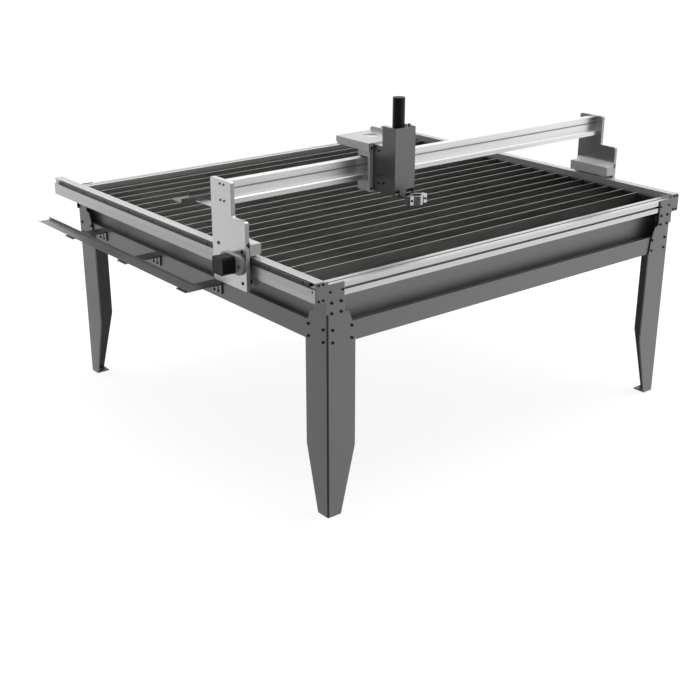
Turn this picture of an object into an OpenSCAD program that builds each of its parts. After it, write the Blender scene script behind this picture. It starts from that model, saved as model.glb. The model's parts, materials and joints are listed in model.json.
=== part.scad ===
// CNC plasma cutting table: an open sheet-metal stand with a bed of loose slats over a slag tray.
// A gantry rolls along two side rails and a carriage on its beam carries the torch lifter.
// Millimetres, +Z up. The origin is on the floor, midway between the legs.
// +X runs along the beam and the slats, +Y along the rails, away from the operator.

/* [Table] */
// Width over the outer faces of the two side rails
table_w = 1800; // [1500:10:2200]
// Distance over the front and rear leg faces
leg_span = 1650; // [1500:10:2000]
// Height of the rail tops above the floor
rail_top_z = 829; // [810:1:900]

/* [Rails and racks] */
// Rail width
rail_w = 36; // [34:1:40]
// Rail height
rail_h = 68; // [64:1:72]
// Length of rail that stands out behind the rear legs
rail_overhang = 114; // [90:1:240]
// Tooth module of the racks and pinions
tooth_m = 2; // [1.8:0.1:2.2]

/* [Cross-beams] */
// Side of the square cross-beam profile
cross_w = 45; // [42:1:48]
// Drop of the cross-beam top below the rail top
cross_drop = 16; // [14:1:18]
// Mouth width of the profile's slots
cross_slot_w = 8; // [7:0.5:9]

/* [Legs] */
// Thickness of the leg sheet
leg_t = 5; // [4:0.5:6]
// Width of each leg flange
leg_flange = 114; // [110:1:124]
// Width of each leg flange at the floor
leg_foot = 55; // [45:1:80]
// Height at which the leg starts to taper
leg_taper_z = 240; // [150:5:400]
// Thickness of the foot plate inside each leg
foot_t = 6; // [4:0.5:12]

/* [Aprons and slag tray] */
// Height of the apron face
apron_h = 67; // [60:1:80]
// Thickness of the apron sheet
apron_t = 3; // [2:0.5:4]
// Thickness of the slag tray sheet
tray_t = 3; // [2:0.5:4]

/* [Slat bed] */
// Distance from slat to slat
slat_pitch = 71; // [50:1:100]
// Least room between a cross-beam and the slats
slat_end = 90; // [60:1:150]
// Thickness of a slat
slat_t = 3; // [2:0.5:6]
// Height of a slat
slat_h = 60; // [50:1:60]

/* [Cable tray] */
// Length of the cable tray
cable_len = 1150; // [1100:5:1200]
// Inside width of the cable tray
cable_w = 45; // [40:1:50]

/* [Gantry] */
// Place of the beam along the rails in the rest pose
gantry_y = -365; // [-400:1:200]
// Thickness of the gantry side plates
plate_t = 15; // [12:0.5:18]
// Depth of the beam over its front ledge
beam_d = 50; // [48:1:52]
// Height of the beam
beam_h = 72; // [70:1:76]
// Radius of the gantry rollers
roller_r = 19.7; // [18:0.1:19.8]
// Side of the square rail-drive motors
motor_w = 60; // [54:1:64]
// Length of the rail-drive motors
motor_len = 51; // [45:1:80]

/* [Carriage and torch lifter] */
// Place of the carriage along the beam in the rest pose
carriage_x = -277; // [-600:1:600]
// Width of the carriage plate
carriage_w = 120; // [116:1:140]
// Width of the lifter housing
house_w = 92; // [90:1:96]
// Diameter of the lifter motor
lift_motor_d = 43; // [38:1:44]
// Length of the lifter motor
lift_motor_len = 135; // [100:1:160]
// Bore of the torch clamp
torch_d = 35; // [30:0.5:36]
// Height of the torch clamp
clamp_h = 32; // [24:1:40]

/* [Hidden] */
$fn = 48;
// Overrun of every cut
cut = 1;
// Clearance of bolts in drilled holes, on the radius
hole_gap = 0.3;
// Running clearance of a shaft in its bearing, on the radius
run_gap = 0.05;
// Bolts: shank radius, head radius and head height of the large and the small size
big_r = 3;
big_head_r = 5;
big_head_h = 3;
small_r = 2.5;
small_head_r = 4;
small_head_h = 2.5;
// Length of shank beyond the last sheet
bolt_tail = 8;

// Legs
leg_inset = 43;
leg_x = table_w / 2 - leg_inset;
leg_y = leg_span / 2;
bend_r = 6;
leg_neck = 69;
strip_w = 7;
rail_bot_z = rail_top_z - rail_h;
rail_x = table_w / 2;
rail_in = rail_x - rail_w;
cross_top_z = rail_top_z - cross_drop;
cross_bot_z = cross_top_z - cross_w;
front_top_up = 2;
front_top_z = cross_top_z + front_top_up;
side_top_drop = 12;
side_top_z = cross_bot_z - side_top_drop;
neck_drop = 50;
neck_z = cross_bot_z - neck_drop;
shoulder_u = 88;
shoulder_drop = 6;
shoulder_z = neck_z - shoulder_drop;
slope_u = 103;
slope_drop = 38;
slope_z = shoulder_z - slope_drop;
slope_low_drop = 64;
slope_low_z = slope_z - slope_low_drop;
cap_drop = 3;
cap_top_z = rail_top_z - cap_drop;
slit = 0.5;
foot_w = 48;
anchor_r = 6.5;

// Bolt places on a leg: across the flange from the bend, and heights
slot_bolt_u = [13, 62];
slot_bolt_z = cross_bot_z + cross_w / 2;
corner_bolt_u = [18, 56];
corner_bolt_drop = 14;
corner_bolt_step = 35;
corner_bolt_z = [cross_bot_z - corner_bolt_drop, cross_bot_z - corner_bolt_drop - corner_bolt_step];
apron_gap_z = 93;
apron_top_z = cross_bot_z - apron_gap_z;
apron_bot_z = apron_top_z - apron_h;
apron_bolt_u = [22, 99];
apron_bolt_in = 12;
apron_bolt_low = 13;
apron_bolt_z = [apron_top_z - apron_bolt_in, apron_bot_z + apron_bolt_low];
cap_bolt_u = [-32, -15];
cap_bolt_in = 8;
cap_bolt_z = [rail_top_z - cap_bolt_in, rail_bot_z + cap_bolt_in];

// Cross-beam profile
cross_slot_d = 11;
cross_core_r = 5;

// Rails
rail_y0 = leg_t - leg_y;
rail_y1 = leg_y + rail_overhang;
recess_d = 6;
recess_h = 20;
recess_drop = 3;
recess_top_z = rail_top_z - recess_drop;
rail_wall = 5;
rail_core_h = 26;
rail_core_low = 16;
ridge_w = 2;
ridge_d = 0.8;
ridge_x = [9, 18, 27];
rail_hole_r = 4;
rail_hole_y = 14;
rail_hole_up = 36;

// Rack teeth: stub form, 20 degree flanks
flank = 20;
stub = 0.8;
tooth_root = 1;
add_h = stub * tooth_m;
ded_h = tooth_root * tooth_m;
tooth_pitch = PI * tooth_m;
backlash = 0.4;
root_share = 0.9;
quarter = tooth_pitch / 4 - backlash / 4;
rack_bar = 13;
rack_out = 8;
rack_fit = 0.2;
rack_w = rack_out + recess_d - rack_fit;
rack_pitch_z = recess_top_z - rack_fit - rack_bar;
rack_start = 20;
rack_y0 = rail_y0 + rack_start;
rack_end = 56;
rack_y1 = rail_y1 - rack_end;
rack_screw_pitch = 180;
rack_screw_first = 30;
rack_screw_up = 7.5;
rack_head_in = 3.5;
rack_screw_len = 12;

// Aprons, tray and brackets
apron_end = 1;
apron_lip = 20;
apron_foot = 60;
apron_x = leg_x - leg_t - apron_end;
side_apron_y = leg_y - leg_t - apron_t - slit;
side_lip_y = leg_y - leg_t - apron_foot - apron_end;
corner_t = 5;
corner_in = 8;
corner_w = 60;
corner_h = 62;
corner_d = 42;
tray_inset = 23;
tray_x = leg_x - leg_t - tray_inset;
tray_y = leg_y - leg_t - cross_w;
tray_rim_drop = 2;
tray_rim_z = cross_bot_z - tray_rim_drop;
tray_side_drop = 20;
tray_side_z = cross_bot_z - tray_side_drop;

// Slat bed
comb_t = 3;
comb_w = 22;
comb_drop = 23;
comb_top_z = rail_top_z - comb_drop;
comb_flange = 36;
comb_below = 17;
slat_drop = 17;
slat_top_z = rail_top_z - slat_drop;
slat_bot_z = slat_top_z - slat_h;
slat_gap = 0.5;
slat_y = 5;
slat_count = floor(2 * (tray_y - slat_end) / slat_pitch) + 1;
slat_in = 16;
comb_end = 1;
comb_y = tray_y - comb_end;
slat_x = rail_in - slat_in;

// Cable tray
cable_t = 2;
cable_near = 43;
cable_up = 57;
cable_z = apron_bot_z + cable_up;
cable_gap = 97;
cable_in = leg_x - leg_t + cable_gap;
cable_lip = 13;
cable_flare = 20;
cable_flare_h = 12;
arm_t = 5;
arm_w = 60;
arm_reach = 9;
arm_fore = 628;
arm_rear = 192;
arm_y = [arm_fore - leg_y, (arm_fore - arm_rear) / 2, leg_y - arm_rear];
cable_y0 = arm_fore - leg_y - cable_near;
arm_slot_w = 6;
arm_slot_l = 24;
arm_slot_y = [-10, 16];
arm_bolt_up = 25;
arm_flange_up = 18;

// Gantry plates
plate_gap = 10;
plate_x = rail_x + plate_gap;
plate_back = 74;
plate_front = 45;
plate_toe = 122;
plate_up = 239;
plate_step = 123;
plate_down = 45;
plate_r = 8;
plate_top_z = rail_top_z + plate_up;
plate_step_z = rail_top_z + plate_step;
plate_bot_z = rail_bot_z - plate_down;
roll_gap = 0.3;
axle_front = 99;
axle_back = 38;
axle_r = 4;
axle_head_r = 6;
axle_head_h = 2;
axle_shoulder_r = 8;
axle_end_t = 3;
axle_wall = 2;
roller_len = 20;
roller_in = 7;
roller_x = rail_x - roller_in;
axle_side = 0.4;
axle_top_z = rail_top_z + roller_r + roll_gap;
axle_low_z = rail_bot_z - roller_r - roll_gap;
block_d0 = 124;
block_d1 = 71;
block_w = 44;
block_up = 8;
block_h = 38;
block_fillet = 14;
pocket_gap = 2;
pocket_side = 1;

// Beam
beam_up = 161;
beam_z = rail_top_z + beam_up;
beam_top_z = beam_z + beam_h;
beam_back_y = gantry_y + beam_d / 2;
beam_front_y = gantry_y - beam_d / 2;
beam_ledge = 20;
beam_ledge_h = 20;
beam_groove_z = 45;
beam_groove_h = 5;
beam_groove_d = 3;
beam_core_w = 16;
beam_core_h = 22;
beam_core_low = 26;
beam_core_wall = 7;
beam_bolt_y = [18, -4];
beam_bolt_z = [9, 63];
beam_bolt_len = 25;
cross_rack_h = 20;
cross_rack_z = 36;
cross_rack_bar = 18;
cross_rack_end = 30;
cross_rack_screw = 220;
cross_screws = 3;

// Rail drive
pinion_n = 14;
pinion_r = tooth_m * pinion_n / 2;
pinion_w = 8;
pinion_side = 1;
pinion_fore = 41;
pinion_y = gantry_y - pinion_fore;
pinion_z = rack_pitch_z - pinion_r;
shaft_r = 4;
shaft_in = 24;
pilot_r = 19;
mount_t = 8;
mount_h = 66;
mount_fore = 72;
mount_back = 66;
mount_bolt_y = [-51, 47];
motor_cut = 6;
motor_bolt_at = 23.6;
motor_bolt_r = 2.5;
motor_bolt_head_r = 4;
motor_bolt_head_h = 3;
motor_bolt_len = 13;

// Chain arm and the cross tray on it
chain_up = 131;
chain_z = rail_top_z + chain_up;
chain_t = 4;
chain_w = 36;
chain_y0 = 40;
chain_y1 = 72;
chain_y2 = 245;
chain_tab_t = 3;
chain_tab_h = 34;
chain_bolt_in = 8;
chain_bolt_drop = 20;
chain_bolt_len = 12;
channel_t = 3;
channel_h = 16;
channel_w = 72;
channel_back = 255;
channel_out = 62;
channel_in = 120;
channel_cut = 71;
channel_bolt_y = [-16, -56];

// Carriage
car_gap = 4;
car_t = 12;
car_back_y = beam_front_y - car_gap;
car_front_y = car_back_y - car_t;
car_down = 46;
car_up = 52;
car_z0 = beam_z - car_down;
car_z1 = beam_top_z + car_up;
car_block_back = 3;
car_block_w = 116;
car_low_h = 40;
pad_h = 5;
glide_gap = 0.3;
glide_len = 30;
glide_in = 5;
glide_y_in = 3;
car_bolt_in = (carriage_w - house_w) / 4;
car_bolt_z_in = 12;
car_bolt_len = 28;
lid_t = 4;
lid_left = 64;
lid_right = 99;
lid_len = 186;
lid_lip = 26;
lid_lip_t = 3;
lid_ear = 19;
lid_cut = 12;
lid_hole_r = 28;
cross_motor_x = 36;
cross_motor_w = 57;
cross_motor_len = 46;
cross_pinion_n = 22;
cross_pinion_r = tooth_m * cross_pinion_n / 2;
cross_pinion_w = 16;
cross_pitch_y = beam_back_y + cross_rack_bar;
cross_pinion_y = cross_pitch_y + cross_pinion_r;

// Torch lifter
house_t = 3;
house_front = 130;
house_front_y = car_back_y - house_front;
house_low = 6;
house_front_low = 18;
house_back = 69;
house_back_y = house_front_y + house_back;
house_z0 = car_z0 + house_low;
house_top = 70;
house_z1 = car_z1 + house_top;
seat_in = 36;
seat_z = house_z1 - seat_in;
lift_x = carriage_x;
lift_in = 38;
lift_y = house_front_y + lift_in;
end_t = 8;
end_front = 24;
end_back = 84;
end_up = 3;
rod_x = 28;
rod_r = 5;
screw_r = 5;
screw_in = 20;
seat_gap = 0.5;
seat_w = house_w - 2 * house_t - 2 * seat_gap;
seat_low_d = 66;
seat_low_z0 = 18;
seat_low_z1 = 48;
seat_top_d = 42;
seat_top_z0 = 30;
seat_top_z1 = 4;
house_bolt = [[31, 19], [31, 133], [58, 129]];
gland_x = 34;
gland_y = 20;
gland_r = 7;
gland_h = 45;
slide_w = 78;
slide_d = 40;
slide_h = 40;
slide_back = 21;
drop_w = 30;
drop_t = 10;
drop_low = 4;
reach_t = 12;
clamp_y = 102;
clamp_wall = 7;
clamp_r = torch_d / 2 + clamp_wall;
clamp_lug = 39;
clamp_lug_t = 10;
clamp_split = 2;
clamp_screw_x = 31;
clamp_drop = 10;

paint = [0.46, 0.45, 0.45];
metal = [0.78, 0.79, 0.80];
steel = [0.45, 0.45, 0.45];
dark = [0.15, 0.15, 0.15];
char = [0.24, 0.24, 0.23];
shell = [0.38, 0.37, 0.38];

// The table's right half mirrors its left
module side(right) {
    if (right) {
        mirror([1, 0, 0]) children();
    } else {
        children();
    }
}

// The rear half of the stand mirrors the front
module end(rear) {
    if (rear) {
        mirror([0, 1, 0]) children();
    } else {
        children();
    }
}

// A bolt whose head stands on the plane z = 0 and whose shank goes down
module bolt(r, len, head_r, head_h) {
    cylinder(r = head_r, h = head_h);
    translate([0, 0, -len]) cylinder(r = r, h = len);
}

module big_bolt(len) {
    bolt(big_r, len, big_head_r, big_head_h);
}

module small_bolt(len) {
    bolt(small_r, len, small_head_r, small_head_h);
}

// Drilled hole through z = 0, as deep as the two lengths say
module drill(r, out, deep) {
    translate([0, 0, -deep]) cylinder(r = r, h = out + deep);
}

// Rectangle with round corners, from a low corner
module round_rect(w, h, r) {
    translate([r, 0]) square([w - 2 * r, h]);
    translate([0, r]) square([w, h - 2 * r]);
    for (x = [r, w - r], y = [r, h - r]) {
        translate([x, y]) circle(r);
    }
}

// Leg sheets, seen from the front and from the side, drawn from the bend outward
module leg_outline(top_z) {
    polygon([[0, 0], [leg_foot, 0], [leg_flange, leg_taper_z],
        [leg_flange, slope_low_z], [slope_u, slope_z], [shoulder_u, shoulder_z],
        [leg_neck, neck_z], [leg_neck, top_z], [0, top_z]]);
}

module leg_front_outline(capped) {
    leg_outline(front_top_z);
    translate([-strip_w, neck_z]) square([strip_w + leg_t, rail_bot_z - neck_z]);
    if (capped) {
        translate([-leg_inset, rail_bot_z]) square([leg_inset + leg_t, cap_top_z - rail_bot_z]);
    }
}

// Puts its children at every bolt place of the front flange, heads outward
module front_bolt_places(us, zs) {
    for (u = us, z = zs) {
        translate([u, 0, z]) rotate([90, 0, 0]) children();
    }
}

// Puts its children at the bolt places of the side flange, heads outward
module side_bolt_places(us, zs) {
    for (u = us, z = zs) {
        translate([0, u, z]) rotate([0, -90, 0]) children();
    }
}

module leg_holes(capped) {
    deep = leg_t + cut;
    front_bolt_places(slot_bolt_u, [slot_bolt_z]) drill(small_r + hole_gap, cut, deep);
    front_bolt_places(corner_bolt_u, corner_bolt_z) drill(big_r + hole_gap, cut, deep);
    front_bolt_places(apron_bolt_u, apron_bolt_z) drill(big_r + hole_gap, cut, deep);
    side_bolt_places(apron_bolt_u, apron_bolt_z) drill(big_r + hole_gap, cut, deep);
    if (capped) {
        front_bolt_places(cap_bolt_u, cap_bolt_z) drill(small_r + hole_gap, cut, deep);
    }
}

module leg(capped) {
    difference() {
        union() {
            translate([0, leg_t, 0]) rotate([90, 0, 0]) linear_extrude(leg_t) leg_front_outline(capped);
            rotate([90, 0, 90]) linear_extrude(leg_t) leg_outline(side_top_z);
        }
        linear_extrude(neck_z) difference() {
            translate([-cut, -cut]) square(bend_r + cut);
            translate([bend_r, bend_r]) circle(bend_r);
        }
        translate([-cut, leg_t, neck_z]) cube([leg_t + cut + cut, slit, side_top_z]);
        leg_holes(capped);
    }
}

module leg_bolts(capped) {
    front_bolt_places(slot_bolt_u, [slot_bolt_z]) small_bolt(leg_t + bolt_tail);
    front_bolt_places(corner_bolt_u, corner_bolt_z) big_bolt(leg_t + corner_t + bolt_tail);
    front_bolt_places(apron_bolt_u, apron_bolt_z) big_bolt(leg_t + apron_t + bolt_tail);
    side_bolt_places(apron_bolt_u, apron_bolt_z) big_bolt(leg_t + apron_t + bolt_tail);
    if (capped) {
        front_bolt_places(cap_bolt_u, cap_bolt_z) small_bolt(leg_t + bolt_tail);
    }
}

module at_leg(right, rear) {
    side(right) end(rear) translate([-leg_x, -leg_y, 0]) children();
}

module leg_front_left() {
    color(paint) at_leg(false, false) leg(true);
}

module leg_front_right() {
    color(paint) at_leg(true, false) leg(true);
}

module leg_rear_left() {
    color(paint) at_leg(false, true) leg(false);
}

module leg_rear_right() {
    color(paint) at_leg(true, true) leg(false);
}

module foot_plates() {
    color(paint) for (right = [false, true], rear = [false, true]) {
        at_leg(right, rear) translate([leg_t, leg_t, 0]) difference() {
            cube([foot_w, foot_w, foot_t]);
            translate([foot_w / 2, foot_w / 2, foot_t]) drill(anchor_r, cut, foot_t + cut);
        }
    }
}

// Pressed channels behind the leg flanges
module apron_front_half() {
    difference() {
        translate([0, leg_t - leg_y, 0]) union() {
            translate([-apron_x, 0, apron_bot_z]) cube([2 * apron_x, apron_t, apron_h]);
            translate([apron_t - apron_x, 0, apron_top_z - apron_t])
                cube([2 * apron_x - 2 * apron_t, apron_lip, apron_t]);
            translate([apron_t - apron_x, 0, apron_bot_z])
                cube([2 * apron_x - 2 * apron_t, apron_foot, apron_t]);
        }
        for (right = [false, true]) {
            at_leg(right, false) front_bolt_places(apron_bolt_u, apron_bolt_z)
                drill(big_r + hole_gap, cut, leg_t + apron_t + cut);
        }
    }
}

module apron_front() {
    color(paint) apron_front_half();
}

module apron_rear() {
    color(paint) end(true) apron_front_half();
}

// Holes of the cable tray brackets in the left apron
module arm_places() {
    for (y = arm_y, dy = arm_slot_y) {
        translate([leg_t - leg_x, y + dy, apron_bot_z + arm_bolt_up]) rotate([0, -90, 0]) children();
    }
}

module apron_side(armed) {
    difference() {
        translate([leg_t - leg_x, 0, 0]) union() {
            translate([0, -side_apron_y, apron_bot_z]) cube([apron_t, 2 * side_apron_y, apron_h]);
            translate([0, -side_lip_y, apron_top_z - apron_t]) cube([apron_lip, 2 * side_lip_y, apron_t]);
            translate([0, -side_lip_y, apron_bot_z]) cube([apron_foot, 2 * side_lip_y, apron_t]);
        }
        for (rear = [false, true]) {
            at_leg(false, rear) side_bolt_places(apron_bolt_u, apron_bolt_z)
                drill(big_r + hole_gap, cut, leg_t + apron_t + cut);
        }
        if (armed) {
            arm_places() drill(small_r + hole_gap, cut, apron_t + cut);
        }
    }
}

module apron_left() {
    color(paint) apron_side(true);
}

module apron_right() {
    color(paint) side(true) apron_side(false);
}

// Square slotted profile of the cross-beams
module cross_profile() {
    difference() {
        square(cross_w);
        for (a = [0, 90, 180, 270]) {
            translate([cross_w / 2, cross_w / 2]) rotate(a)
                translate([-cross_slot_w / 2, cross_w / 2 - cross_slot_d])
                square([cross_slot_w, cross_slot_d + cut]);
        }
        translate([cross_w / 2, cross_w / 2]) circle(cross_core_r);
    }
}

module cross_beam() {
    translate([-rail_in, leg_t - leg_y, cross_bot_z]) rotate([90, 0, 90])
        linear_extrude(2 * rail_in) cross_profile();
}

module cross_beam_front() {
    color(metal) cross_beam();
}

module cross_beam_rear() {
    color(metal) end(true) cross_beam();
}

// Rail section: hollow, a recess for the rack in the outer face and fine grooves on top
module rail_profile() {
    difference() {
        square([rail_w, rail_h]);
        translate([-cut, rail_h - recess_drop - recess_h]) square([recess_d + cut, recess_h]);
        translate([rail_wall, rail_core_low]) square([rail_w - 2 * rail_wall, rail_core_h]);
        for (x = ridge_x) {
            translate([x - ridge_w / 2, rail_h - ridge_d]) square([ridge_w, ridge_d + cut]);
        }
    }
}

module rail() {
    difference() {
        translate([-rail_x, rail_y1, rail_bot_z]) rotate([90, 0, 0])
            linear_extrude(rail_y1 - rail_y0) rail_profile();
        at_leg(false, false) front_bolt_places(cap_bolt_u, cap_bolt_z)
            drill(small_r + run_gap, cut, leg_t + bolt_tail + cut);
        translate([-rail_x, rail_y0 + rail_hole_y, rail_bot_z + rail_hole_up]) rotate([0, -90, 0])
            drill(rail_hole_r, cut, rail_wall + cut);
        rack_screw_places() drill(small_r + run_gap, cut, rack_w + rack_screw_len);
    }
}

module rail_left() {
    color(metal) rail();
}

module rail_right() {
    color(metal) side(true) rail();
}

// Rack outline along x with the pitch line at y = 0, teeth downward, a gap centred at x = 0
function rack_teeth(k0, k1) = [for (k = [k0 : k1], p = [[-1, 1], [-1, -1], [1, -1], [1, 1]])
    [(k + 0.5) * tooth_pitch + p[0] * (quarter + (p[1] > 0 ? ded_h : -add_h) * tan(flank)),
        p[1] > 0 ? ded_h : -add_h]];

module rack_shape(x0, x1, bar) {
    k0 = ceil(x0 / tooth_pitch);
    k1 = floor(x1 / tooth_pitch) - 1;
    polygon(concat([[x0, bar], [x0, ded_h]], rack_teeth(k0, k1), [[x1, ded_h], [x1, bar]]));
}

// Screws along the rack, heads outward
module rack_screw_places() {
    count = floor((rack_y1 - rack_y0 - 2 * rack_screw_first) / rack_screw_pitch);
    for (i = [0 : count]) {
        translate([
            -rail_x - rack_out,
            rack_y0 + rack_screw_first + i * rack_screw_pitch,
            rack_pitch_z + rack_screw_up
        ])
            rotate([0, -90, 0]) children();
    }
}

module rack() {
    difference() {
        translate([-rail_x - rack_out, pinion_y, rack_pitch_z]) rotate([90, 0, 90])
            linear_extrude(rack_w) rack_shape(rack_y0 - pinion_y, rack_y1 - pinion_y, rack_bar);
        rack_screw_places() union() {
            drill(small_r + hole_gap, cut, rack_w + cut);
            drill(small_head_r + hole_gap, cut, rack_head_in);
        }
    }
}

module rack_left() {
    color(steel) rack();
}

module rack_right() {
    color(steel) side(true) rack();
}

module rack_screws() {
    color(dark) for (right = [false, true]) {
        side(right) rack_screw_places() translate([0, 0, -rack_head_in]) small_bolt(rack_screw_len);
    }
}

// Slag tray: an open sheet box on the apron feet
module slag_tray() {
    floor_z = apron_bot_z + apron_t;
    color(paint) difference() {
        translate([-tray_x, -tray_y, floor_z]) cube([2 * tray_x, 2 * tray_y, tray_rim_z - floor_z]);
        translate([tray_t - tray_x, tray_t - tray_y, floor_z + tray_t])
            cube([2 * tray_x - 2 * tray_t, 2 * tray_y - 2 * tray_t, tray_rim_z]);
        translate([-tray_x - cut, tray_t - tray_y, tray_side_z])
            cube([2 * tray_x + 2 * cut, 2 * tray_y - 2 * tray_t, tray_rim_z]);
    }
}

// Places of the slats along y
function slat_place(i) = slat_y + (i - (slat_count - 1) / 2) * slat_pitch;

// Folded strip on the rail's inner face, slotted for the slats
module comb() {
    difference() {
        translate([-rail_in, -comb_y, 0]) union() {
            translate([0, 0, comb_top_z - comb_flange]) cube([comb_t, 2 * comb_y, comb_flange]);
            translate([0, 0, comb_top_z - comb_t]) cube([comb_w, 2 * comb_y, comb_t]);
            translate([comb_w - comb_t, 0, slat_bot_z - comb_below])
                cube([comb_t, 2 * comb_y, comb_top_z - slat_bot_z + comb_below]);
        }
        for (i = [0 : slat_count - 1]) {
            translate([-slat_x - comb_t, slat_place(i) - slat_t / 2 - slat_gap, slat_bot_z])
                cube([comb_w, slat_t + 2 * slat_gap, slat_h]);
        }
    }
}

module slat_combs() {
    color(paint) for (right = [false, true]) {
        side(right) comb();
    }
}

module slats() {
    color(char) for (i = [0 : slat_count - 1]) {
        translate([-slat_x, slat_place(i) - slat_t / 2, slat_bot_z]) cube([2 * slat_x, slat_t, slat_h]);
    }
}

// Angle pieces inside the leg tops, under the cross-beam ends
module corner_bracket() {
    difference() {
        translate([corner_in, leg_t, cross_bot_z]) union() {
            translate([0, 0, -corner_h]) cube([corner_w, corner_t, corner_h]);
            translate([0, 0, -corner_t]) cube([corner_w, corner_d, corner_t]);
        }
        front_bolt_places(corner_bolt_u, corner_bolt_z) drill(big_r + hole_gap, cut, leg_t + corner_t + cut);
    }
}

module corner_brackets() {
    color(paint) for (right = [false, true], rear = [false, true]) {
        at_leg(right, rear) corner_bracket();
    }
}

module frame_bolts() {
    color(dark) for (right = [false, true]) {
        at_leg(right, false) leg_bolts(true);
        at_leg(right, true) leg_bolts(false);
    }
    color(dark) arm_places() translate([0, 0, arm_t]) small_bolt(arm_t + apron_t + bolt_tail);
}

// Cable tray beside the left apron
module cable_tray() {
    color(paint) translate([-cable_in, cable_y0, cable_z]) rotate([90, 0, 180]) linear_extrude(cable_len)
        polygon([[0, 0], [cable_w, 0], [cable_w + cable_flare, cable_flare_h],
            [cable_w + cable_flare - cable_t, cable_flare_h], [cable_w - cable_t / 2, cable_t],
            [cable_t, cable_t], [cable_t, cable_lip], [0, cable_lip]]);
}

// Slotted angle brackets that carry the cable tray
module tray_brackets() {
    reach = cable_in + cable_w + arm_reach - leg_x + leg_t;
    color(paint) for (y = arm_y) {
        difference() {
            translate([leg_t - leg_x, y - arm_w / 2, 0]) union() {
                translate([-arm_t, 0, apron_bot_z + arm_flange_up])
                    cube([arm_t, arm_w, cable_z - apron_bot_z - arm_flange_up]);
                translate([-reach, 0, cable_z - arm_t]) cube([reach, arm_w, arm_t]);
            }
            arm_places() translate([-arm_slot_w / 2, -arm_slot_w / 2, -cut]) linear_extrude(arm_t + 2 * cut)
                round_rect(arm_slot_l, arm_slot_w, arm_slot_w / 2 - run_gap);
        }
    }
}

// Axle places on a gantry side, heads outward
module axle_places(z) {
    for (dy = [-axle_front, axle_back]) {
        translate([-plate_x - plate_t, gantry_y + dy, z]) rotate([0, -90, 0]) children();
    }
}

// Bolt places of the beam in a side plate
module beam_bolt_places() {
    for (y = beam_bolt_y, z = beam_bolt_z) {
        translate([-plate_x - plate_t, gantry_y + y, beam_z + z]) rotate([0, -90, 0]) children();
    }
}

// Gantry side plate with a stepped front edge
module gantry_plate(armed) {
    full = plate_back + plate_toe;
    upper = plate_back + plate_front;
    difference() {
        translate([-plate_x - plate_t, gantry_y, 0]) rotate([90, 0, 90]) linear_extrude(plate_t) union() {
            translate([-plate_toe, plate_bot_z]) round_rect(full, plate_step_z - plate_bot_z, plate_r);
            translate([-plate_front, plate_bot_z]) round_rect(upper, plate_top_z - plate_bot_z, plate_r);
            translate([-plate_front - plate_r, plate_step_z - plate_r]) difference() {
                square([plate_r + plate_r, plate_r + plate_r]);
                translate([0, plate_r + plate_r]) circle(plate_r);
            }
        }
        for (z = [axle_top_z, axle_low_z]) {
            axle_places(z) drill(axle_r + hole_gap, cut, plate_t + cut);
        }
        beam_bolt_places() drill(small_r + hole_gap, cut, plate_t + cut);
        translate([-plate_x - plate_t, pinion_y, pinion_z]) rotate([0, -90, 0])
            drill(pilot_r, cut, plate_t + cut);
        mount_bolt_places() drill(big_r + run_gap, cut, mount_t + plate_t + cut);
        if (armed) {
            chain_bolt_places() drill(small_r + run_gap, chain_tab_t + cut, chain_bolt_len);
        }
    }
}

module gantry_plate_left() {
    color(metal) gantry_plate(true);
}

module gantry_plate_right() {
    color(metal) side(true) gantry_plate(false);
}

// Extruded beam: an upper web over a front ledge, with a groove along the web
module gantry_beam() {
    color(metal) difference() {
        translate([-plate_x, gantry_y, beam_z]) rotate([90, 0, 90]) linear_extrude(2 * plate_x)
            translate([-beam_d / 2, 0]) difference() {
                union() {
                    square([beam_d, beam_ledge_h]);
                    translate([beam_ledge, 0]) square([beam_d - beam_ledge, beam_h]);
                }
                translate([beam_ledge - cut, beam_groove_z]) square([beam_groove_d + cut, beam_groove_h]);
                translate([beam_ledge + beam_core_wall, beam_core_low]) square([beam_core_w, beam_core_h]);
            }
        for (right = [false, true]) {
            side(right) beam_bolt_places() drill(small_r + run_gap, cut, plate_t + beam_bolt_len + cut);
        }
        cross_screw_places() drill(small_r + run_gap, cut, cross_rack_bar + bolt_tail);
    }
}

// Screws of the cross rack, heads to the rear
module cross_screw_places() {
    for (i = [-cross_screws : cross_screws]) {
        translate([carriage_x + cross_motor_x + tooth_pitch / 2 + cross_screw(i), cross_pitch_y - ded_h,
            beam_z + cross_rack_z + cross_rack_h / 2]) rotate([-90, 0, 0]) children();
    }
}

function cross_screw(i) = round((i * cross_rack_screw - carriage_x) / tooth_pitch) * tooth_pitch;

// Rack along the back of the beam
module cross_rack() {
    reach = plate_x - cross_rack_end;
    mid = carriage_x + cross_motor_x;
    color(steel) difference() {
        translate([mid, cross_pitch_y, beam_z + cross_rack_z]) mirror([0, 1, 0]) linear_extrude(cross_rack_h)
            rack_shape(-reach - mid, reach - mid, cross_rack_bar);
        cross_screw_places() union() {
            drill(small_r + hole_gap, cut, cross_rack_bar + cut);
            drill(small_head_r + hole_gap, ded_h + add_h + cut, rack_head_in);
        }
    }
}

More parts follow.
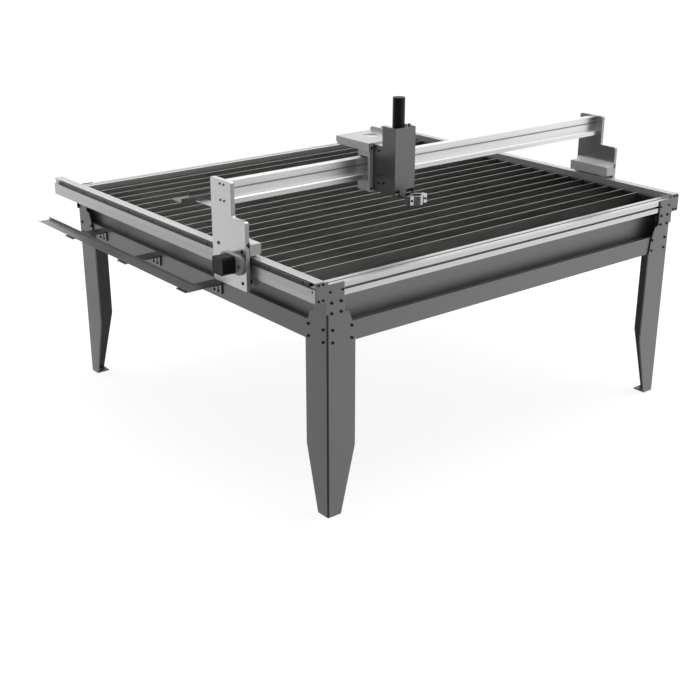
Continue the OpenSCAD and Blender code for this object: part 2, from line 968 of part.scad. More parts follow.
// Blocks over the rails with pockets for the upper rollers
module bearing_block() {
    difference() {
        union() {
            translate([-plate_x, gantry_y - block_d0, rail_top_z + block_up])
                cube([block_w, block_d0 + block_d1, block_h]);
            translate([-plate_x, gantry_y + block_d1, rail_top_z + block_up + block_h]) rotate([90, 0, 0])
                linear_extrude(plate_toe + block_d1) difference() {
                    translate([0, -block_fillet]) square([block_fillet, 2 * block_fillet]);
                    translate([block_fillet, block_fillet]) circle(block_fillet);
                }
        }
        for (dy = [-axle_front, axle_back]) {
            translate([-roller_x - pocket_side, gantry_y + dy - roller_r - pocket_gap, rail_top_z])
                cube([roller_len + 2 * pocket_side, 2 * roller_r + 2 * pocket_gap,
                    axle_top_z - rail_top_z + roller_r + pocket_gap]);
        }
        axle_places(axle_top_z) drill(axle_r + hole_gap, cut, plate_t + block_w - axle_wall);
    }
}

module bearing_blocks() {
    color(metal) for (right = [false, true]) {
        side(right) bearing_block();
    }
}

// Axles: low head outside the plate, a shoulder and an end washer at the free lower rollers
module axle_top() {
    bolt(axle_r, plate_t + block_w - axle_wall, axle_head_r, axle_head_h);
}

module axle_low() {
    near = plate_x - roller_x - axle_side;
    far = plate_x - roller_x + roller_len + axle_side;
    bolt(axle_r, plate_t + far + axle_end_t, axle_head_r, axle_head_h);
    translate([0, 0, -plate_t - near]) cylinder(r = axle_shoulder_r, h = near);
    translate([0, 0, -plate_t - far - axle_end_t]) cylinder(r = axle_shoulder_r, h = axle_end_t);
}

module roller_axles() {
    color(dark) for (right = [false, true]) {
        side(right) axle_places(axle_top_z) axle_top();
        side(right) axle_places(axle_low_z) axle_low();
    }
}

// One roller: left or right, front or back axle, above or below the rail
module roller(right, dy, z) {
    color(dark) side(right) translate([-roller_x, gantry_y + dy, z]) rotate([0, 90, 0]) difference() {
        cylinder(r = roller_r, h = roller_len);
        translate([0, 0, -cut]) cylinder(r = axle_r + run_gap, h = roller_len + 2 * cut);
    }
}

module roller_1() {
    roller(false, -axle_front, axle_top_z);
}

module roller_2() {
    roller(false, axle_back, axle_top_z);
}

module roller_3() {
    roller(false, -axle_front, axle_low_z);
}

module roller_4() {
    roller(false, axle_back, axle_low_z);
}

module roller_5() {
    roller(true, -axle_front, axle_top_z);
}

module roller_6() {
    roller(true, axle_back, axle_top_z);
}

module roller_7() {
    roller(true, -axle_front, axle_low_z);
}

module roller_8() {
    roller(true, axle_back, axle_low_z);
}

// Screws of a rail-drive motor, sunk in its mount from the plate side
module motor_bolt_places() {
    for (sy = [-1, 1], sz = [-1, 1]) {
        translate([-plate_x - plate_t, pinion_y + sy * motor_bolt_at, pinion_z + sz * motor_bolt_at])
            rotate([0, 90, 0]) translate([0, 0, -motor_bolt_head_h]) children();
    }
}

// Bolts of a motor mount in its side plate, heads outward
module mount_bolt_places() {
    for (dy = mount_bolt_y) {
        translate([-plate_x - plate_t - mount_t, pinion_y + dy, pinion_z]) rotate([0, -90, 0]) children();
    }
}

// Square body with cut corners, from z = 0 upward
module motor_body(w, len, bore) {
    c = motor_cut;
    h = w / 2;
    difference() {
        linear_extrude(len) polygon([[c - h, -h], [h - c, -h], [h, c - h], [h, h - c], [h - c, h],
            [c - h, h], [-h, h - c], [-h, c - h]]);
        translate([0, 0, -cut]) cylinder(r = bore + run_gap, h = shaft_in + 2 * cut);
    }
}

module drive_motor() {
    difference() {
        translate([-plate_x - plate_t - mount_t, pinion_y, pinion_z]) rotate([0, -90, 0])
            motor_body(motor_w, motor_len, shaft_r);
        motor_bolt_places() drill(motor_bolt_r + run_gap, cut, motor_bolt_len + cut);
    }
}

module drive_motor_left() {
    color(dark) drive_motor();
}

module drive_motor_right() {
    color(dark) side(true) drive_motor();
}

// Round-ended plate under a rail-drive motor
module mount_outline() {
    r = mount_h / 2;
    translate([-r, r - mount_fore]) square([mount_h, mount_fore + mount_back - mount_h]);
    for (y = [r - mount_fore, mount_back - r]) {
        translate([0, y]) circle(r);
    }
}

module motor_mount() {
    difference() {
        translate([-plate_x - plate_t, pinion_y, pinion_z]) rotate([0, -90, 0]) difference() {
            linear_extrude(mount_t) mount_outline();
            drill(pilot_r, mount_t + cut, cut);
        }
        mount_bolt_places() drill(big_r + hole_gap, cut, mount_t + cut);
        motor_bolt_places() union() {
            drill(motor_bolt_r + hole_gap, cut, mount_t + cut);
            drill(motor_bolt_head_r + hole_gap, motor_bolt_head_h + cut, slit);
        }
    }
}

module motor_mounts() {
    color(metal) for (right = [false, true]) {
        side(right) motor_mount();
    }
}

// Gear outline: stub involute teeth, one tooth centred on the x axis
function inv(a) = tan(a) * 180 / PI - a;
function half_tooth(n, r, rad) = 90 / n - backlash / 4 / r * 180 / PI + inv(flank)
    - inv(acos(min(1, r * cos(flank) / rad)));
function gear_radii(n, r) = [
    r - ded_h,
    max(r * cos(flank), r - ded_h * root_share),
    r - add_h / 3,
    r + add_h / 3,
    r + add_h
];
function gear_points(n, r) = [for (k = [0 : n - 1], s = [-1, 1], i = [0 : 4])
    let (j = s < 0 ? i : 4 - i, rad = gear_radii(n, r)[j], base = max(rad, r * cos(flank)),
        a = k * 360 / n + s * half_tooth(n, r, base)) [rad * cos(a), rad * sin(a)]];

// Pinion and its shaft, axis along z, teeth from z = 0 down and the shaft upward
module pinion(n, r, w, shaft) {
    translate([0, 0, -w]) linear_extrude(w) polygon(gear_points(n, r));
    cylinder(r = shaft_r, h = shaft);
}

module drive_pinion() {
    translate([-plate_x + pinion_side, pinion_y, pinion_z]) rotate([0, -90, 0])
        pinion(pinion_n, pinion_r, pinion_w, plate_t + mount_t + pinion_side + shaft_in);
}

module pinion_left() {
    color(steel) drive_pinion();
}

module pinion_right() {
    color(steel) side(true) drive_pinion();
}

// Bolt places of the chain arm on the left plate, heads inward
module chain_bolt_places() {
    for (dy = [chain_y0 + chain_bolt_in, chain_y1 - chain_bolt_in]) {
        translate([-plate_x, gantry_y + dy, chain_z - chain_bolt_drop]) rotate([0, 90, 0]) children();
    }
}

// Screw places of the cross tray on the chain arm, heads up
module channel_bolt_places() {
    for (dy = channel_bolt_y) {
        translate([chain_w / 2 - plate_x, gantry_y + channel_back + dy, chain_z + channel_t]) children();
    }
}

module gantry_bolts() {
    color(dark) for (right = [false, true]) {
        side(right) beam_bolt_places() small_bolt(plate_t + beam_bolt_len);
        side(right) mount_bolt_places() big_bolt(mount_t + plate_t);
        side(right) motor_bolt_places()
            bolt(motor_bolt_r, motor_bolt_len, motor_bolt_head_r, motor_bolt_head_h);
    }
    color(dark) chain_bolt_places() translate([0, 0, chain_tab_t]) small_bolt(chain_tab_t + chain_bolt_len);
    color(dark) channel_bolt_places() small_bolt(channel_t + chain_t);
    color(dark) cross_screw_places() translate([0, 0, -rack_head_in])
        small_bolt(cross_rack_bar - ded_h - rack_head_in + bolt_tail);
}

// Flat arm from the left plate to the rear, with a tab bolted to the plate's inner face
module chain_arm() {
    color(metal) difference() {
        translate([-plate_x, gantry_y, chain_z]) union() {
            translate([0, chain_y0, -chain_t]) cube([chain_w, chain_y2 - chain_y0, chain_t]);
            translate([0, chain_y0, -chain_tab_h]) cube([chain_tab_t, chain_y1 - chain_y0, chain_tab_h]);
        }
        chain_bolt_places() drill(small_r + hole_gap, chain_tab_t + cut, cut);
        channel_bolt_places() drill(small_r + run_gap, cut, channel_t + chain_t + cut);
    }
}

// Open tray across the arm, where a cable chain ends
module chain_channel() {
    len = channel_out + channel_in;
    color(metal) difference() {
        translate([-plate_x - channel_out, gantry_y + channel_back - channel_w, chain_z]) union() {
            cube([len, channel_w, channel_t]);
            cube([len, channel_t, channel_h]);
            translate([channel_cut, channel_w - channel_t, 0])
                cube([len - channel_cut, channel_t, channel_h]);
        }
        channel_bolt_places() drill(small_r + hole_gap, cut, channel_t + cut);
    }
}

// Bolt places in the corners of the carriage plate, heads to the front
module carriage_bolt_places() {
    for (sx = [-1, 1], z = [car_z0 + car_bolt_z_in, car_z1 - car_bolt_z_in]) {
        translate([carriage_x + sx * (carriage_w / 2 - car_bolt_in), car_front_y, z])
            rotate([90, 0, 0]) children();
    }
}

// Bolt places on both sides of the lifter housing, heads outward
module house_bolt_places() {
    for (sx = [-1, 1], b = house_bolt) {
        translate([carriage_x + sx * house_w / 2, car_front_y - b[0], car_z1 - b[1]])
            rotate([0, sx * 90, 0]) children();
    }
}

module carriage_plate() {
    color(metal) difference() {
        translate([carriage_x - carriage_w / 2, car_front_y, car_z0])
            cube([carriage_w, car_t, car_z1 - car_z0]);
        carriage_bolt_places() drill(small_r + hole_gap, cut, car_t + cut);
    }
}

// Sheet lid over the carriage and its drive motor
module carriage_lid() {
    x0 = carriage_x - lid_left;
    y0 = car_front_y;
    y1 = y0 + lid_len;
    color(metal) difference() {
        translate([x0, y0, car_z1]) union() {
            cube([lid_left + lid_right, lid_len, lid_t]);
            translate([0, 0, -lid_lip]) cube([lid_lip_t, lid_len, lid_lip + lid_t]);
            translate([lid_left + lid_right - lid_lip_t, lid_ear, 0])
                cube([lid_lip_t, lid_len - lid_ear, lid_ear]);
        }
        translate([x0 - cut, y1, car_z1 - lid_lip]) rotate([90, 0, 90]) linear_extrude(lid_lip_t + 2 * cut)
            polygon([[cut, -cut], [-lid_cut - cut, -cut], [cut, lid_cut + cut]]);
        translate([carriage_x + cross_motor_x, cross_pinion_y, car_z1]) drill(lid_hole_r, lid_t + cut, cut);
        translate([x0 + lid_left + lid_right - lid_lip_t - cut, y1 - lid_cut, car_z1 + lid_ear - lid_cut])
            rotate([90, 0, 90]) linear_extrude(lid_lip_t + 2 * cut) difference() {
                square(lid_cut + cut);
                circle(lid_cut);
            }
    }
}

// Blocks on the carriage plate: two behind it hold the beam, two before it hold the housing
module carriage_blocks() {
    y1 = beam_back_y + car_block_back;
    w = car_block_w;
    top_z = beam_top_z + glide_gap + pad_h;
    low_z = beam_z - glide_gap - pad_h;
    color(metal) difference() {
        union() {
            translate([carriage_x - w / 2, car_back_y, top_z]) cube([w, y1 - car_back_y, car_z1 - top_z]);
            translate([carriage_x - w / 2, car_back_y, low_z - car_low_h])
                cube([w, y1 - car_back_y, car_low_h]);
            translate([carriage_x - seat_w / 2, car_front_y - seat_low_d, car_z0 + seat_low_z0])
                cube([seat_w, seat_low_d, seat_low_z1 - seat_low_z0]);
            translate([carriage_x - seat_w / 2, car_front_y - seat_top_d, car_z1 - seat_top_z0])
                cube([seat_w, seat_top_d, seat_top_z0 - seat_top_z1]);
        }
        carriage_bolt_places() drill(small_r + run_gap, cut, car_bolt_len + cut);
        house_bolt_places() drill(small_r + run_gap, cut, house_t + bolt_tail + cut);
    }
}

// Slide strips on the blocks, above and below the beam
module glide_pads() {
    y0 = beam_front_y + beam_ledge + glide_y_in;
    y1 = beam_back_y - glide_y_in;
    color(dark) for (sx = [-1, 1], z = [beam_top_z + glide_gap, beam_z - glide_gap - pad_h]) {
        translate([carriage_x + sx * (car_block_w / 2 - glide_in - glide_len / 2) - glide_len / 2, y0, z])
            cube([glide_len, y1 - y0, pad_h]);
    }
}

module cross_motor() {
    color(dark) translate([carriage_x + cross_motor_x, cross_pinion_y, car_z1 - cross_motor_len])
        motor_body(cross_motor_w, cross_motor_len, shaft_r);
}

module cross_pinion() {
    z1 = beam_z + cross_rack_z + (cross_rack_h + cross_pinion_w) / 2;
    color(steel) translate([carriage_x + cross_motor_x, cross_pinion_y, z1]) rotate(-90)
        pinion(cross_pinion_n, cross_pinion_r, cross_pinion_w, car_z1 - cross_motor_len - z1 + shaft_in);
}

// Side outline of the housing, y against z
module house_side() {
    polygon([[house_front_y, house_z0 + house_front_low], [house_front_y + house_t, house_z0],
        [car_front_y, house_z0], [car_front_y, car_z1], [house_back_y, car_z1],
        [house_back_y, house_z1], [house_front_y, house_z1]]);
}

// Folded lifter housing with its end plates
module lift_housing() {
    x0 = carriage_x - house_w / 2;
    color(shell) difference() {
        union() {
            for (x = [x0, x0 + house_w - house_t]) {
                translate([x, 0, 0]) rotate([90, 0, 90]) linear_extrude(house_t) house_side();
            }
            translate([x0, house_front_y, house_z0 + house_front_low])
                cube([house_w, house_t, house_z1 - house_z0 - house_front_low]);
            translate([x0, house_front_y, seat_z - end_t]) cube([house_w, house_back, end_t]);
            translate([x0, house_front_y + end_front, house_z0 + end_up])
                cube([house_w, end_back - end_front, end_t]);
        }
        for (sx = [-1, 1]) {
            translate([lift_x + sx * rod_x, lift_y, house_z0])
                cylinder(r = rod_r, h = seat_z - house_z0 - end_t / 2);
        }
        translate([lift_x, lift_y, house_z0]) cylinder(r = screw_r + run_gap, h = seat_z - house_z0 + cut);
        house_bolt_places() drill(small_r + hole_gap, cut, house_t + cut);
    }
}

module guide_rods() {
    z0 = house_z0 + end_up;
    color(steel) for (sx = [-1, 1]) {
        translate([lift_x + sx * rod_x, lift_y, z0]) cylinder(r = rod_r, h = seat_z - end_t / 2 - z0);
    }
}

// Lifter motor on its plate inside the housing top, with its cable plug beside it
module lift_motor() {
    color(dark) difference() {
        union() {
            translate([lift_x, lift_y, seat_z]) cylinder(r = lift_motor_d / 2, h = lift_motor_len);
            translate([carriage_x + gland_x, house_front_y + gland_y, seat_z])
                cylinder(r = gland_r, h = gland_h);
        }
        translate([lift_x, lift_y, seat_z - cut]) cylinder(r = screw_r + run_gap, h = screw_in + cut + cut);
    }
}

module lift_screw() {
    z0 = house_z0 + end_up;
    color(steel) translate([lift_x, lift_y, z0]) cylinder(r = screw_r, h = seat_z + screw_in - z0);
}

module carriage_bolts() {
    color(dark) carriage_bolt_places() small_bolt(car_bolt_len);
    color(dark) house_bolt_places() small_bolt(house_t + bolt_tail);
}

// Block on the guide rods with the drop bar in front of it
module slide_block() {
    z1 = car_z1;
    color(metal) difference() {
        union() {
            translate([lift_x - slide_w / 2, lift_y + slide_back - slide_d, z1 - slide_h])
                cube([slide_w, slide_d, slide_h]);
            translate([lift_x - drop_w / 2, lift_y + slide_back - slide_d - drop_t, car_z0 - drop_low])
                cube([drop_w, drop_t, z1 - car_z0 + drop_low]);
        }
        for (sx = [-1, 1]) {
            translate([lift_x + sx * rod_x, lift_y, z1]) drill(rod_r + run_gap, cut, slide_h + cut);
        }
        translate([lift_x, lift_y, z1]) drill(screw_r + run_gap, cut, slide_h + cut);
    }
}

// Half of the split torch clamp, the half behind the split
module clamp_half() {
    difference() {
        union() {
            cylinder(r = clamp_r, h = clamp_h);
            translate([-clamp_lug, 0, 0]) cube([2 * clamp_lug, clamp_lug_t, clamp_h]);
        }
        translate([0, 0, -cut]) cylinder(r = torch_d / 2, h = clamp_h + 2 * cut);
        translate([-clamp_lug - cut, -clamp_r - cut, -cut])
            cube([2 * clamp_lug + 2 * cut, clamp_r + cut + clamp_split / 2, clamp_h + 2 * cut]);
        clamp_screw_places() cylinder(r = small_r + run_gap, h = 2 * clamp_lug_t + 2 * cut, center = true);
    }
}

// Screw places of the clamp, along y
module clamp_screw_places() {
    for (sx = [-1, 1]) {
        translate([sx * clamp_screw_x, 0, clamp_h / 2]) rotate([90, 0, 0]) children();
    }
}

module at_clamp() {
    translate([lift_x, lift_y - clamp_y, car_z0 - drop_low - clamp_drop]) children();
}

// Arm from the drop bar to the clamp, in one piece with the clamp's rear half
module torch_arm() {
    y1 = lift_y + slide_back - slide_d - drop_t;
    y0 = lift_y - clamp_y + torch_d / 2 + clamp_wall / 2;
    color(metal) union() {
        at_clamp() clamp_half();
        translate([lift_x - drop_w / 2, y0, car_z0 - drop_low]) cube([drop_w, y1 - y0, reach_t]);
    }
}

module clamp_cap() {
    color(metal) at_clamp() mirror([0, 1, 0]) clamp_half();
}

module clamp_screws() {
    color(dark) at_clamp() clamp_screw_places() translate([0, 0, clamp_lug_t])
        small_bolt(2 * clamp_lug_t);
}

leg_front_left();
leg_front_right();
leg_rear_left();
leg_rear_right();
foot_plates();
apron_front();
apron_rear();
apron_left();
apron_right();
cross_beam_front();
cross_beam_rear();
rail_left();
rail_right();
rack_left();
rack_right();
rack_screws();
slag_tray();
slat_combs();
slats();
corner_brackets();
frame_bolts();
cable_tray();
tray_brackets();
gantry_plate_left();
gantry_plate_right();
gantry_beam();
cross_rack();
bearing_blocks();
drive_motor_left();
drive_motor_right();
motor_mounts();
roller_axles();
gantry_bolts();
chain_arm();
chain_channel();
roller_1();
roller_2();
roller_3();
roller_4();
roller_5();
roller_6();
roller_7();
roller_8();
pinion_left();
pinion_right();
carriage_plate();
carriage_lid();
carriage_blocks();
glide_pads();
cross_motor();
cross_pinion();
lift_housing();
guide_rods();
lift_motor();
lift_screw();
carriage_bolts();
slide_block();
torch_arm();
clamp_cap();
clamp_screws();
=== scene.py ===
import json
import math

import bpy
from mathutils import Matrix, Vector

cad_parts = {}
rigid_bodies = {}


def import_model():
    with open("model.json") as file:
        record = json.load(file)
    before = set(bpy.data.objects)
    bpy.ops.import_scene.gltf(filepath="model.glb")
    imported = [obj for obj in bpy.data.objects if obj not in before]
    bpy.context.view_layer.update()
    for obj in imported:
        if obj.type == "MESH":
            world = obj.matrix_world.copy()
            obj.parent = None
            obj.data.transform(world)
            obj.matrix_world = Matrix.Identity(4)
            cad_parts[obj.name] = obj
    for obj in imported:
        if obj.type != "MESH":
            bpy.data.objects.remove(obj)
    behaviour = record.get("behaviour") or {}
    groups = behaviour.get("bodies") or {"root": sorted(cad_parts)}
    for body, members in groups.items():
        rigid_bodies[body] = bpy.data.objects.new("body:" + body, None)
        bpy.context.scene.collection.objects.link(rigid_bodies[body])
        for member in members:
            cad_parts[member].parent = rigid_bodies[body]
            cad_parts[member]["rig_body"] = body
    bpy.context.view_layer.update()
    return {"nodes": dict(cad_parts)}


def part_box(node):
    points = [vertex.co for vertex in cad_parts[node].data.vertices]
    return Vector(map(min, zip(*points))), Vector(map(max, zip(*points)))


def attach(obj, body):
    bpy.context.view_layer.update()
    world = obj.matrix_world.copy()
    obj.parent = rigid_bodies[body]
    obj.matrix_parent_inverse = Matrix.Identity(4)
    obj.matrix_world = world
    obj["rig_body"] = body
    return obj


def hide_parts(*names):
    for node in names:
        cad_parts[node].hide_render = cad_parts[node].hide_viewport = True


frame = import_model()

bl_info = {
    "name": "Plasma cutting table",
    "version": (1, 0, 0),
    "blender": (4, 5, 0),
    "location": "View3D > Sidebar > Table",
    "description": "Dresses the solids of a plasma cutting table with edges, fasteners and finishes",
    "category": "Object",
}

MM = 0.001
BODY_OF = {node: piece["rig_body"] for node, piece in frame["nodes"].items()}
EDGE_MASK = "edge"
WHITE = (1.0, 1.0, 1.0, 1.0)
X, Y, Z = range(3)

# Tolerances. Lengths: points closer than MERGE are one, a point within ON_PLANE of a plane lies on it.
# Angles in degrees: faces within FLAT_ANGLE are one flat face, edges above SHARP_ANGLE are eased, faces
# within SMOOTH_ANGLE are shaded as one. Cosines: above ALONG a face looks along an axis, below ACROSS
# it looks sideways.
MERGE = 0.002 * MM
ON_PLANE = 0.1 * MM
FLAT_ANGLE = 0.3
SHARP_ANGLE = 32.0
SMOOTH_ANGLE = 45.0
ALONG = 0.9
ACROSS = 0.1


# Sizes and colours that a user would change

def colour(name, description, shade):
    return bpy.props.FloatVectorProperty(
        name=name, description=description, subtype="COLOR", size=3, min=0.0, max=1.0, default=shade)


def length(name, description, millimetres):
    return bpy.props.FloatProperty(
        name=name, description=description, unit="LENGTH", subtype="DISTANCE", min=0.0,
        default=millimetres * MM)


def amount(name, description, value):
    return bpy.props.FloatProperty(name=name, description=description, min=0.0, default=value)


def number(name, description, value):
    return bpy.props.FloatProperty(name=name, description=description, default=value)


def spot(name, description, place_of):
    return bpy.props.FloatVectorProperty(
        name=name, description=description, subtype="TRANSLATION", unit="LENGTH", default=place_of)


class TableFinishes(bpy.types.PropertyGroup):
    """Colours of the table's finishes"""

    paint: colour("Paint", "Powder coat of legs, aprons, brackets and feet", (0.25, 0.247, 0.248))
    # Painted shade: the leg inside colour darkens the legs' inner faces, where little light reaches; it is
    # no separate coat.
    inside: colour("Leg inside", "Thin coat on the inner faces of the legs", (0.08, 0.08, 0.078))
    tray_paint: colour("Tray paint", "Powder coat of the slag tray", (0.4, 0.397, 0.398))
    shelf_paint: colour("Shelf paint", "Powder coat of cable tray and its brackets", (0.33, 0.33, 0.33))
    housing_paint: colour("Housing paint", "Powder coat of the torch lifter", (0.23, 0.227, 0.229))
    profile: colour("Profile", "Anodised rails and cross-beams", (0.76, 0.76, 0.757))
    # Painted shade: the slot colour darkens the insides of slots and grooves, where little light reaches.
    slot: colour("Slot", "Inside of the slots and grooves in the profiles", (0.5, 0.5, 0.497))
    beam: colour("Beam", "Anodised gantry beam and bare ends of motors", (0.96, 0.96, 0.96))
    plate: colour("Plate", "Ground aluminium side plates", (0.78, 0.78, 0.778))
    # The milled colour is also painted light: on the side plates' front faces it stands in for a
    # reflection.
    milled: colour("Milled", "Matt milled blocks, mounts, rollers and front edges of the side plates", (
        0.86, 0.86, 0.855))
    sheet: colour("Sheet", "Rolled aluminium lid and chain arm", (0.62, 0.62, 0.618))
    channel: colour("Channel", "Dark sheet of the chain tray", (0.18, 0.18, 0.177))
    slat: colour("Slat", "Mill scale on the slats", (0.33, 0.322, 0.306))
    comb: colour("Comb", "Dark steel of the slat combs", (0.05, 0.05, 0.05))
    rack: colour("Rack", "Oiled steel of the racks", (0.09, 0.09, 0.087))
    slide: colour("Slide", "Dark steel of the torch slide", (0.2, 0.2, 0.196))
    black: colour("Black", "Satin black of the motors and the glide strips", (0.032, 0.033, 0.028))
    bolt: colour("Bolt", "Black oxide of the bolts and roller axles", (0.015, 0.015, 0.015))
    zinc: colour("Zinc", "Zinc plate of the gantry's screws", (0.3, 0.3, 0.297))
    bright: colour("Bright", "Polished torch arm and clamp", (0.62, 0.62, 0.615))
    ground: colour("Ground", "Ground steel of rods, lift screw and pinions", (0.7, 0.7, 0.698))


class TableEdges(bpy.types.PropertyGroup):
    """Widths of the softened edges and sizes of small forms"""

    sheet: length("Sheet edge", "Edge of the folded sheets", 0.6)
    tray: length("Tray edge", "Edge of the cable tray", 0.48)
    profile: length("Profile edge", "Edge of the extrusions, axles, rods and glide strips", 0.5)
    rail: length("Rail edge", "Edge of the rails and of the grooves in their tops", 0.3)
    plate: length("Plate edge", "Edge of the gantry plates", 1.0)
    block: length("Block edge", "Edge of the milled blocks and the carriage's lid", 1.0)
    slat: length("Slat edge", "Edge of the slats, combs and pinions", 0.3)
    motor: length("Motor edge", "Edge of the round lift motor", 1.2)
    cap_edge: length("Cap edge", "Edge of the square motors", 0.6)
    cap: length("Motor cap", "Length of the square motors' end caps", 12.0)
    seam: length("Motor seam", "Depth of the core between the end caps", 0.8)
    rim: length("Motor rim", "Width of the rim around a square motor's rear face", 5.0)
    dish: length("Motor dish", "Depth of the rear face within its rim", 0.8)
    tyre: length("Roller edge", "Edge of the rollers", 0.8)
    shield: length("Roller shield", "Depth of the shields in the rollers", 1.2)
    ring: length("Roller ring", "Wall of the ring around a roller's axle", 3.0)
    ledge: length("Beam ledge", "Depth and height of the ledge along the beam", 20.0)
    chamfer: length("Ledge chamfer", "Flat along the ledge of the beam", 4.0)
    groove: length("Beam groove", "Height of the middle of the groove in the beam", 47.5)
    gland: length("Gland", "Width of the light cable gland beside the lift motor", 14.5)


class TableStage(bpy.types.PropertyGroup):
    """Floor, lights and camera"""

    floor: length("Floor", "Side of the square floor", 80000.0)
    floor_shade: colour("Floor shade", "Colour of the floor", (0.36, 0.36, 0.36))
    floor_glow: amount("Floor glow", "Light that the pale floor itself gives to the picture", 0.84)
    sky_low: amount("Dark side", "Strength of the even light from the camera's side", 0.1)
    sky_high: amount("Bright side", "Strength of the even light from behind the table", 1.0)
    sky_turn: bpy.props.FloatProperty(
        name="Bright direction", description="Turn of the bright side about the vertical", unit="ROTATION",
        default=math.radians(35.0))
    sky_from: number("Dark end", "Cosine to the bright direction where the light is dimmest", -0.4)
    sky_to: number("Bright end", "Cosine to the bright direction where the light is full", 0.22)
    under: amount("Light from below", "Share of the light that is left straight from below", 0.4)
    under_from: number("Low end", "Height of the direction where the light from below is least", -0.95)
    under_to: number("Low start", "Height of the direction where the light begins to fall", -0.5)
    top_power: amount("Top light", "Power of the light overhead in watts", 60.0)
    top_side: length("Top light side", "Side of the square light overhead", 4500.0)
    top_place: spot("Top light place", "Place of the light overhead", (0.0, 0.2, 4.6))
    top_aim: spot("Top light aim", "Point that the light overhead faces", (0.0, 0.0, 0.8))
    camera_place: spot("Camera place", "Place of the camera", (-2.9898, -3.5530, 1.9791))
    camera_turn: bpy.props.FloatVectorProperty(
        name="Camera turn", description="Pan, tilt and roll of the camera",
        subtype="EULER", unit="ROTATION",
        default=(math.radians(-39.19), math.radians(68.32), math.radians(0.19)))
    camera_lens: number("Lens", "Focal length in millimetres", 61.16)
    camera_sensor: number("Sensor", "Width of the camera's sensor in millimetres", 36.0)
    camera_far: length("Far end", "Distance up to which the camera sees", 200000.0)


# Selection and editing

def settle():
    """Leaves edit mode and deselects everything."""
    if bpy.context.object and bpy.context.object.mode != "OBJECT":
        bpy.ops.object.mode_set(mode="OBJECT")
    bpy.ops.object.select_all(action="DESELECT")


def take(piece):
    """Makes a piece the only selected object."""
    settle()
    piece.select_set(True)
    bpy.context.view_layer.objects.active = piece


def open_mesh(piece, action="SELECT"):
    """Opens a piece in edit mode with all or none of it selected."""
    take(piece)
    bpy.ops.object.mode_set(mode="EDIT")
    bpy.ops.mesh.select_mode(type="FACE")
    bpy.ops.mesh.select_all(action=action)


def close_mesh():
    bpy.ops.object.mode_set(mode="OBJECT")


def pick_faces(piece, wanted):
    """Selects the faces for which wanted(centre, normal) holds, and opens the mesh."""
    open_mesh(piece, "DESELECT")
    close_mesh()
    found = 0
    for face in piece.data.polygons:
        face.select = bool(wanted(face.center, face.normal))
        found += face.select
    if not found:
        raise RuntimeError(f"{piece.name}: no face to work on")
    bpy.ops.object.mode_set(mode="EDIT")


def apply_modifier(piece, kind, **values):
    take(piece)
    modifier = piece.modifiers.new(kind.lower(), kind)
    for name, value in values.items():
        setattr(modifier, name, value)
    bpy.ops.object.modifier_apply(modifier=modifier.name)


def place(piece, matrix):
    """Moves a piece and puts its place in its mesh."""
    take(piece)
    piece.matrix_world = matrix
    bpy.ops.object.transform_apply(location=True, rotation=True, scale=True)


def twin(piece, name):
    """A copy of a piece with a mesh of its own."""
    copy = bpy.data.objects.new(name, piece.data.copy())
    bpy.context.scene.collection.objects.link(copy)
    return copy


def join(pieces, name):
    """Joins pieces into the first one."""
    settle()
    for piece in pieces:
        piece.select_set(True)
    bpy.context.view_layer.objects.active = pieces[0]
    if len(pieces) > 1:
        bpy.ops.object.join()
    pieces[0].name = name
    return pieces[0]


def drop(piece):
    bpy.data.objects.remove(piece)


def solid_copy(node):
    """A copy of a solid's mesh, merged, with its flat faces put back together."""
    piece = twin(frame["nodes"][node], node + "_dressed")
    piece.data.materials.clear()
    open_mesh(piece)
    bpy.ops.mesh.remove_doubles(threshold=MERGE)
    bpy.ops.mesh.customdata_custom_splitnormals_clear()
    bpy.ops.mesh.faces_shade_flat()
    bpy.ops.mesh.dissolve_limited(angle_limit=math.radians(FLAT_ANGLE))
    close_mesh()
    return piece


def ease_edges(piece, width, segments=2, angle=SHARP_ANGLE):
    """Rounds the sharp edges and marks the new faces in the edge mask."""
    while len(piece.data.materials) < 2:
        piece.data.materials.append(None)
    apply_modifier(
        piece, "BEVEL", width=width, segments=segments, limit_method="ANGLE",
        angle_limit=math.radians(angle), use_clamp_overlap=False, material=1)
    mesh = piece.data
    mask = mesh.attributes.new(EDGE_MASK, "FLOAT", "CORNER")
    for face in mesh.polygons:
        for corner in face.loop_indices:
            mask.data[corner].value = float(face.material_index == 1)
        face.material_index = 0
    mesh.materials.clear()
    smooth(piece)


def smooth(piece):
    """Smooth shading that keeps flat faces flat."""
    take(piece)
    bpy.ops.object.shade_smooth_by_angle(angle=math.radians(SMOOTH_ANGLE))
    apply_modifier(piece, "WEIGHTED_NORMAL", keep_sharp=True, weight=100)


def stand_for(piece, node, surface):
    """Gives a piece its finish and body, and hides the solid that it stands for."""
    if not piece.data.materials:
        piece.data.materials.append(surface)
    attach(piece, BODY_OF[node])
    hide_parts(node)
    return piece


def soften(node, width, surface, segments=2):
    """Stands a copy with eased edges in for a solid."""
    piece = solid_copy(node)
    ease_edges(piece, width, segments)
    return stand_for(piece, node, surface)


def part_finish(piece, second, wanted):
    """Gives the faces for which wanted(centre, normal) holds a second finish."""
    piece.data.materials.append(second)
    for face in piece.data.polygons:
        if wanted(face.center, face.normal):
            face.material_index = 1


def chamfer(piece, width, wanted):
    """Cuts a flat off the edges whose two ends satisfy wanted(point)."""
    open_mesh(piece, "DESELECT")
    bpy.ops.mesh.select_mode(type="EDGE")
    close_mesh()
    points = piece.data.vertices
    for edge in piece.data.edges:
        edge.select = all(wanted(points[end].co) for end in edge.vertices)
    bpy.ops.object.mode_set(mode="EDIT")
    bpy.ops.mesh.bevel(offset=width, segments=1, affect="EDGES")
    close_mesh()


def coat(node, surface):
    """Gives a solid that stays as it is its finish."""
    solid = frame["nodes"][node]
    solid.data.materials.clear()
    solid.data.materials.append(surface)


# Node groups that several finishes share

